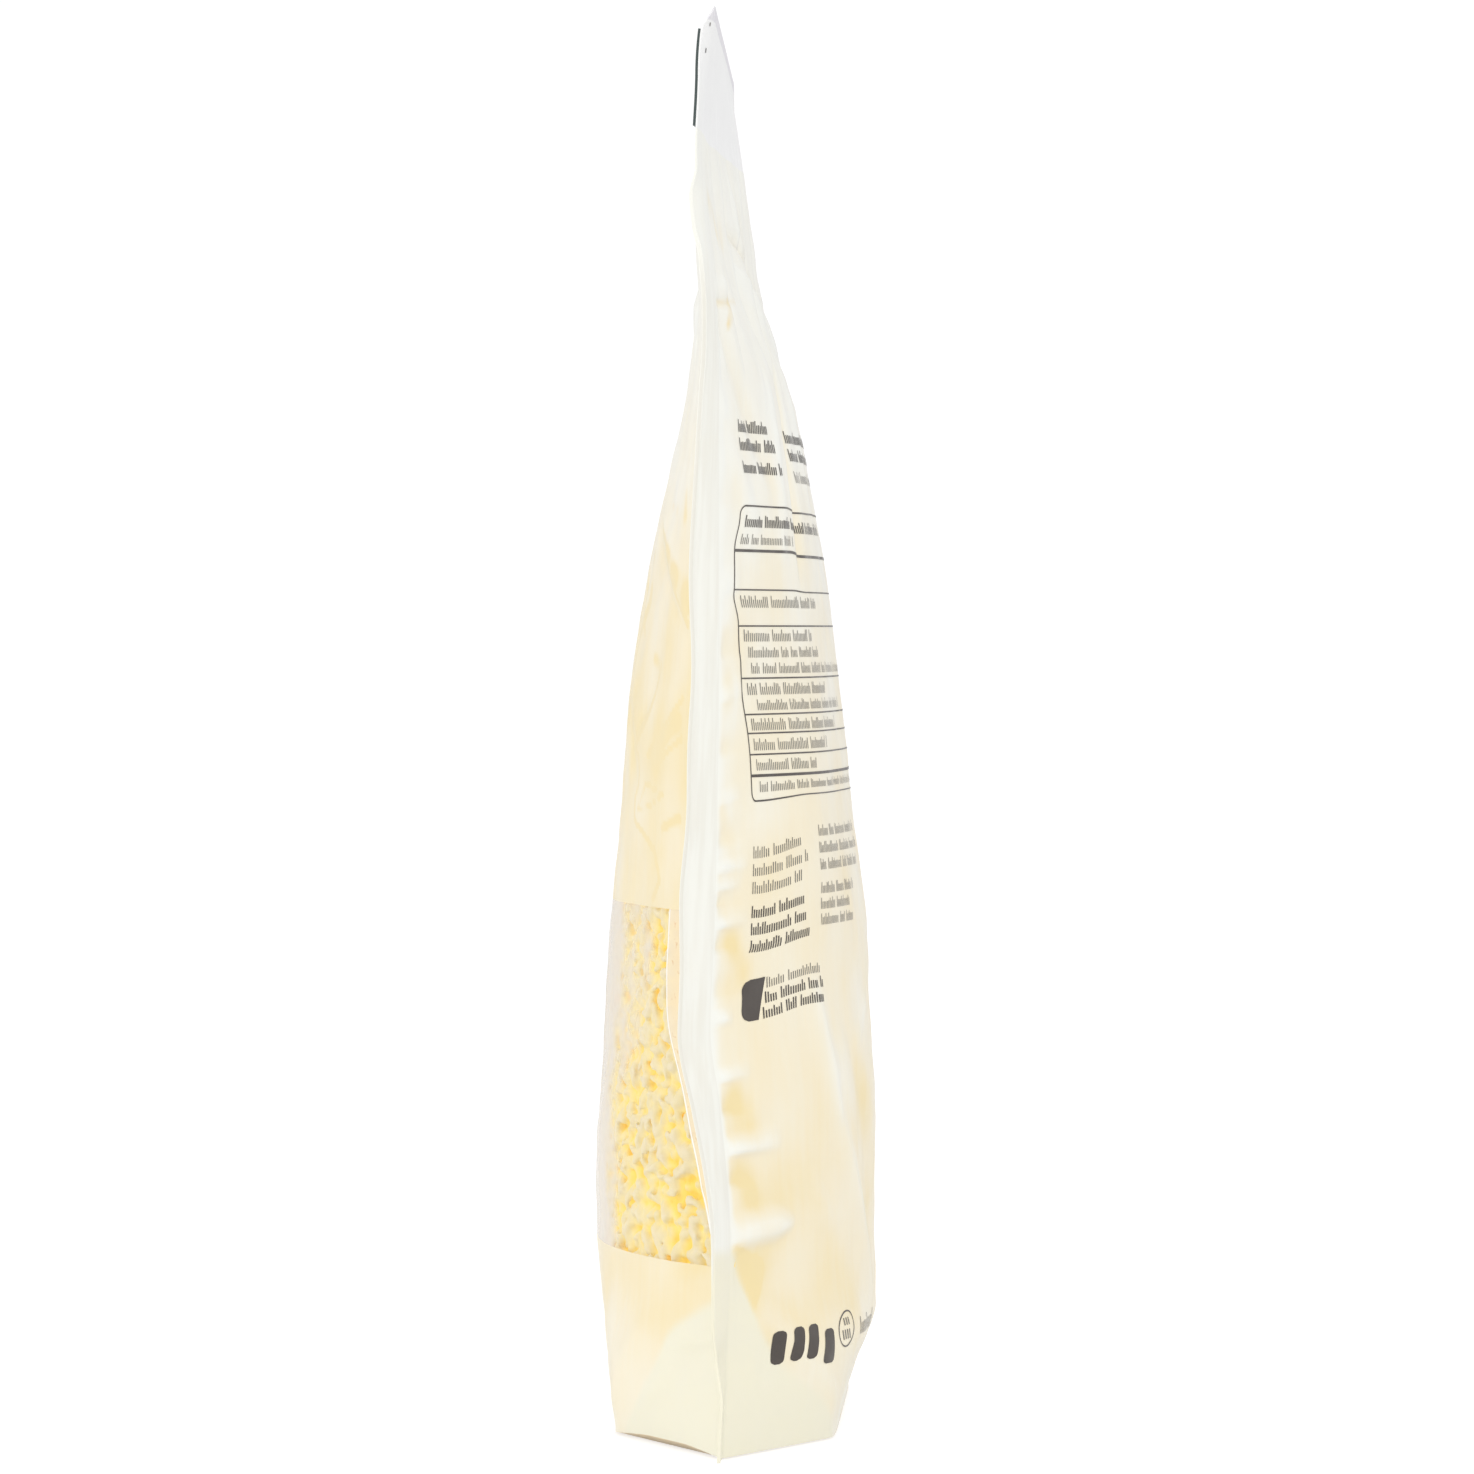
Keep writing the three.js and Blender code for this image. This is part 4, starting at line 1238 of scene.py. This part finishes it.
class POUCH_OT_stage(bpy.types.Operator):
    """Adds the pale floor, the soft light and the camera"""

    bl_idname = "pouch.stage"
    bl_label = "Stage"

    LIGHTS = (  # name, place, size, share of the power
        ("key_light", (1.3, 0.5, 0.75), 0.6, 0.22),
        ("front_light", (0.6, -1.4, 0.7), 0.6, 1.05),
        ("back_light", (1.05, 0.95, 1.0), 0.45, 0.78),
        ("top_light", (-0.6, 0.0, 1.8), 1.2, 0.5),
    )
    SHOWN = 1.05  # brightness of the surround as the camera sees it
    FLOOR_DROP = 0.3 * MM
    AIM = 0.12  # height that the lights are turned to
    SENSOR, LENS = 36, 156.6
    PITCH = 107 / 6413  # how far the camera looks down

    def execute(self, context):
        scene = context.scene
        stage = scene.pouch_stage
        deselect()
        bpy.ops.mesh.primitive_plane_add(size=12, location=(0, 0, -self.FLOOR_DROP))
        floor = context.object
        floor.name = "floor"
        pale = Material("pale_floor", Roughness=0.6)
        pale.link(pale.mix(pale.noise(400), (0.42, 0.42, 0.42, 1), (0.40, 0.40, 0.40, 1)), "Base Color")
        pale.shader.inputs["Emission Color"].default_value = (1, 1, 1, 1)
        seen = pale.node("ShaderNodeLightPath").outputs["Is Camera Ray"]
        pale.link(pale.between(seen, 0, 1, 0.42, 0.66), "Emission Strength")
        give_materials(floor, [pale.data])

        # The surround lights the pouch less than it shows.
        world = bpy.data.worlds.new("surround")
        scene.world = world
        world.use_nodes = True
        tree = world.node_tree
        both = tree.nodes.new("ShaderNodeMixShader")
        seen = tree.nodes.new("ShaderNodeLightPath").outputs["Is Camera Ray"]
        tree.links.new(seen, both.inputs[0])
        lighting = next(n for n in tree.nodes if n.type == "BACKGROUND")
        showing = tree.nodes.new("ShaderNodeBackground")
        for i, (node, strength) in enumerate(((lighting, stage.surround), (showing, self.SHOWN))):
            node.inputs["Color"].default_value = (1, 1, 1, 1)
            node.inputs["Strength"].default_value = strength
            tree.links.new(node.outputs[0], both.inputs[i + 1])
        output = next(n for n in tree.nodes if n.type == "OUTPUT_WORLD")
        tree.links.new(both.outputs[0], output.inputs["Surface"])

        for name, place, size, share in self.LIGHTS:
            deselect()
            bpy.ops.object.light_add(type="AREA", location=place)
            light = context.object
            light.name = name
            light.data.energy = stage.light_power * share
            light.data.size = size
            towards = Vector((0, 0, self.AIM)) - Vector(place)
            light.rotation_euler = towards.to_track_quat("-Z", "Y").to_euler()

        scene.view_settings.view_transform = "Standard"
        turn, away = stage.camera_turn, stage.camera_distance
        lens = bpy.data.cameras.new("camera")
        lens.sensor_width = self.SENSOR
        lens.lens = self.LENS
        camera = bpy.data.objects.new("camera", lens)
        scene.collection.objects.link(camera)
        camera.location = (away * math.cos(turn), away * math.sin(turn), stage.camera_height)
        towards = Vector((-math.cos(turn), -math.sin(turn), -self.PITCH))
        camera.rotation_euler = towards.to_track_quat("-Z", "Y").to_euler()
        scene.camera = camera
        return {"FINISHED"}


class POUCH_PT_panel(bpy.types.Panel):
    """Lists the pouch's pieces"""

    bl_idname = "POUCH_PT_panel"
    bl_label = "Pouch"
    bl_space_type = "VIEW_3D"
    bl_region_type = "UI"
    bl_category = "Pouch"

    def draw(self, context):
        layout = self.layout
        for group in (context.scene.pouch, context.scene.pouch_stage):
            for name in group.__annotations__:
                layout.prop(group, name)
        for operator in OPERATORS:
            layout.operator(operator.bl_idname)


OPERATORS = (
    POUCH_OT_back_panel,
    POUCH_OT_front_panel,
    POUCH_OT_folded_base,
    POUCH_OT_cheese,
    POUCH_OT_back_print,
    POUCH_OT_header_band,
    POUCH_OT_stage,
)
CLASSES = (PouchSettings, StageSettings, *OPERATORS, POUCH_PT_panel)


def register():
    for one in CLASSES:
        bpy.utils.register_class(one)
    bpy.types.Scene.pouch = bpy.props.PointerProperty(type=PouchSettings)
    bpy.types.Scene.pouch_stage = bpy.props.PointerProperty(type=StageSettings)


def unregister():
    del bpy.types.Scene.pouch_stage
    del bpy.types.Scene.pouch
    for one in reversed(CLASSES):
        bpy.utils.unregister_class(one)


def main():
    register()
    for operator in OPERATORS:
        group, name = operator.bl_idname.split(".")
        getattr(getattr(bpy.ops, group), name)()


if __name__ == "__main__":
    main()
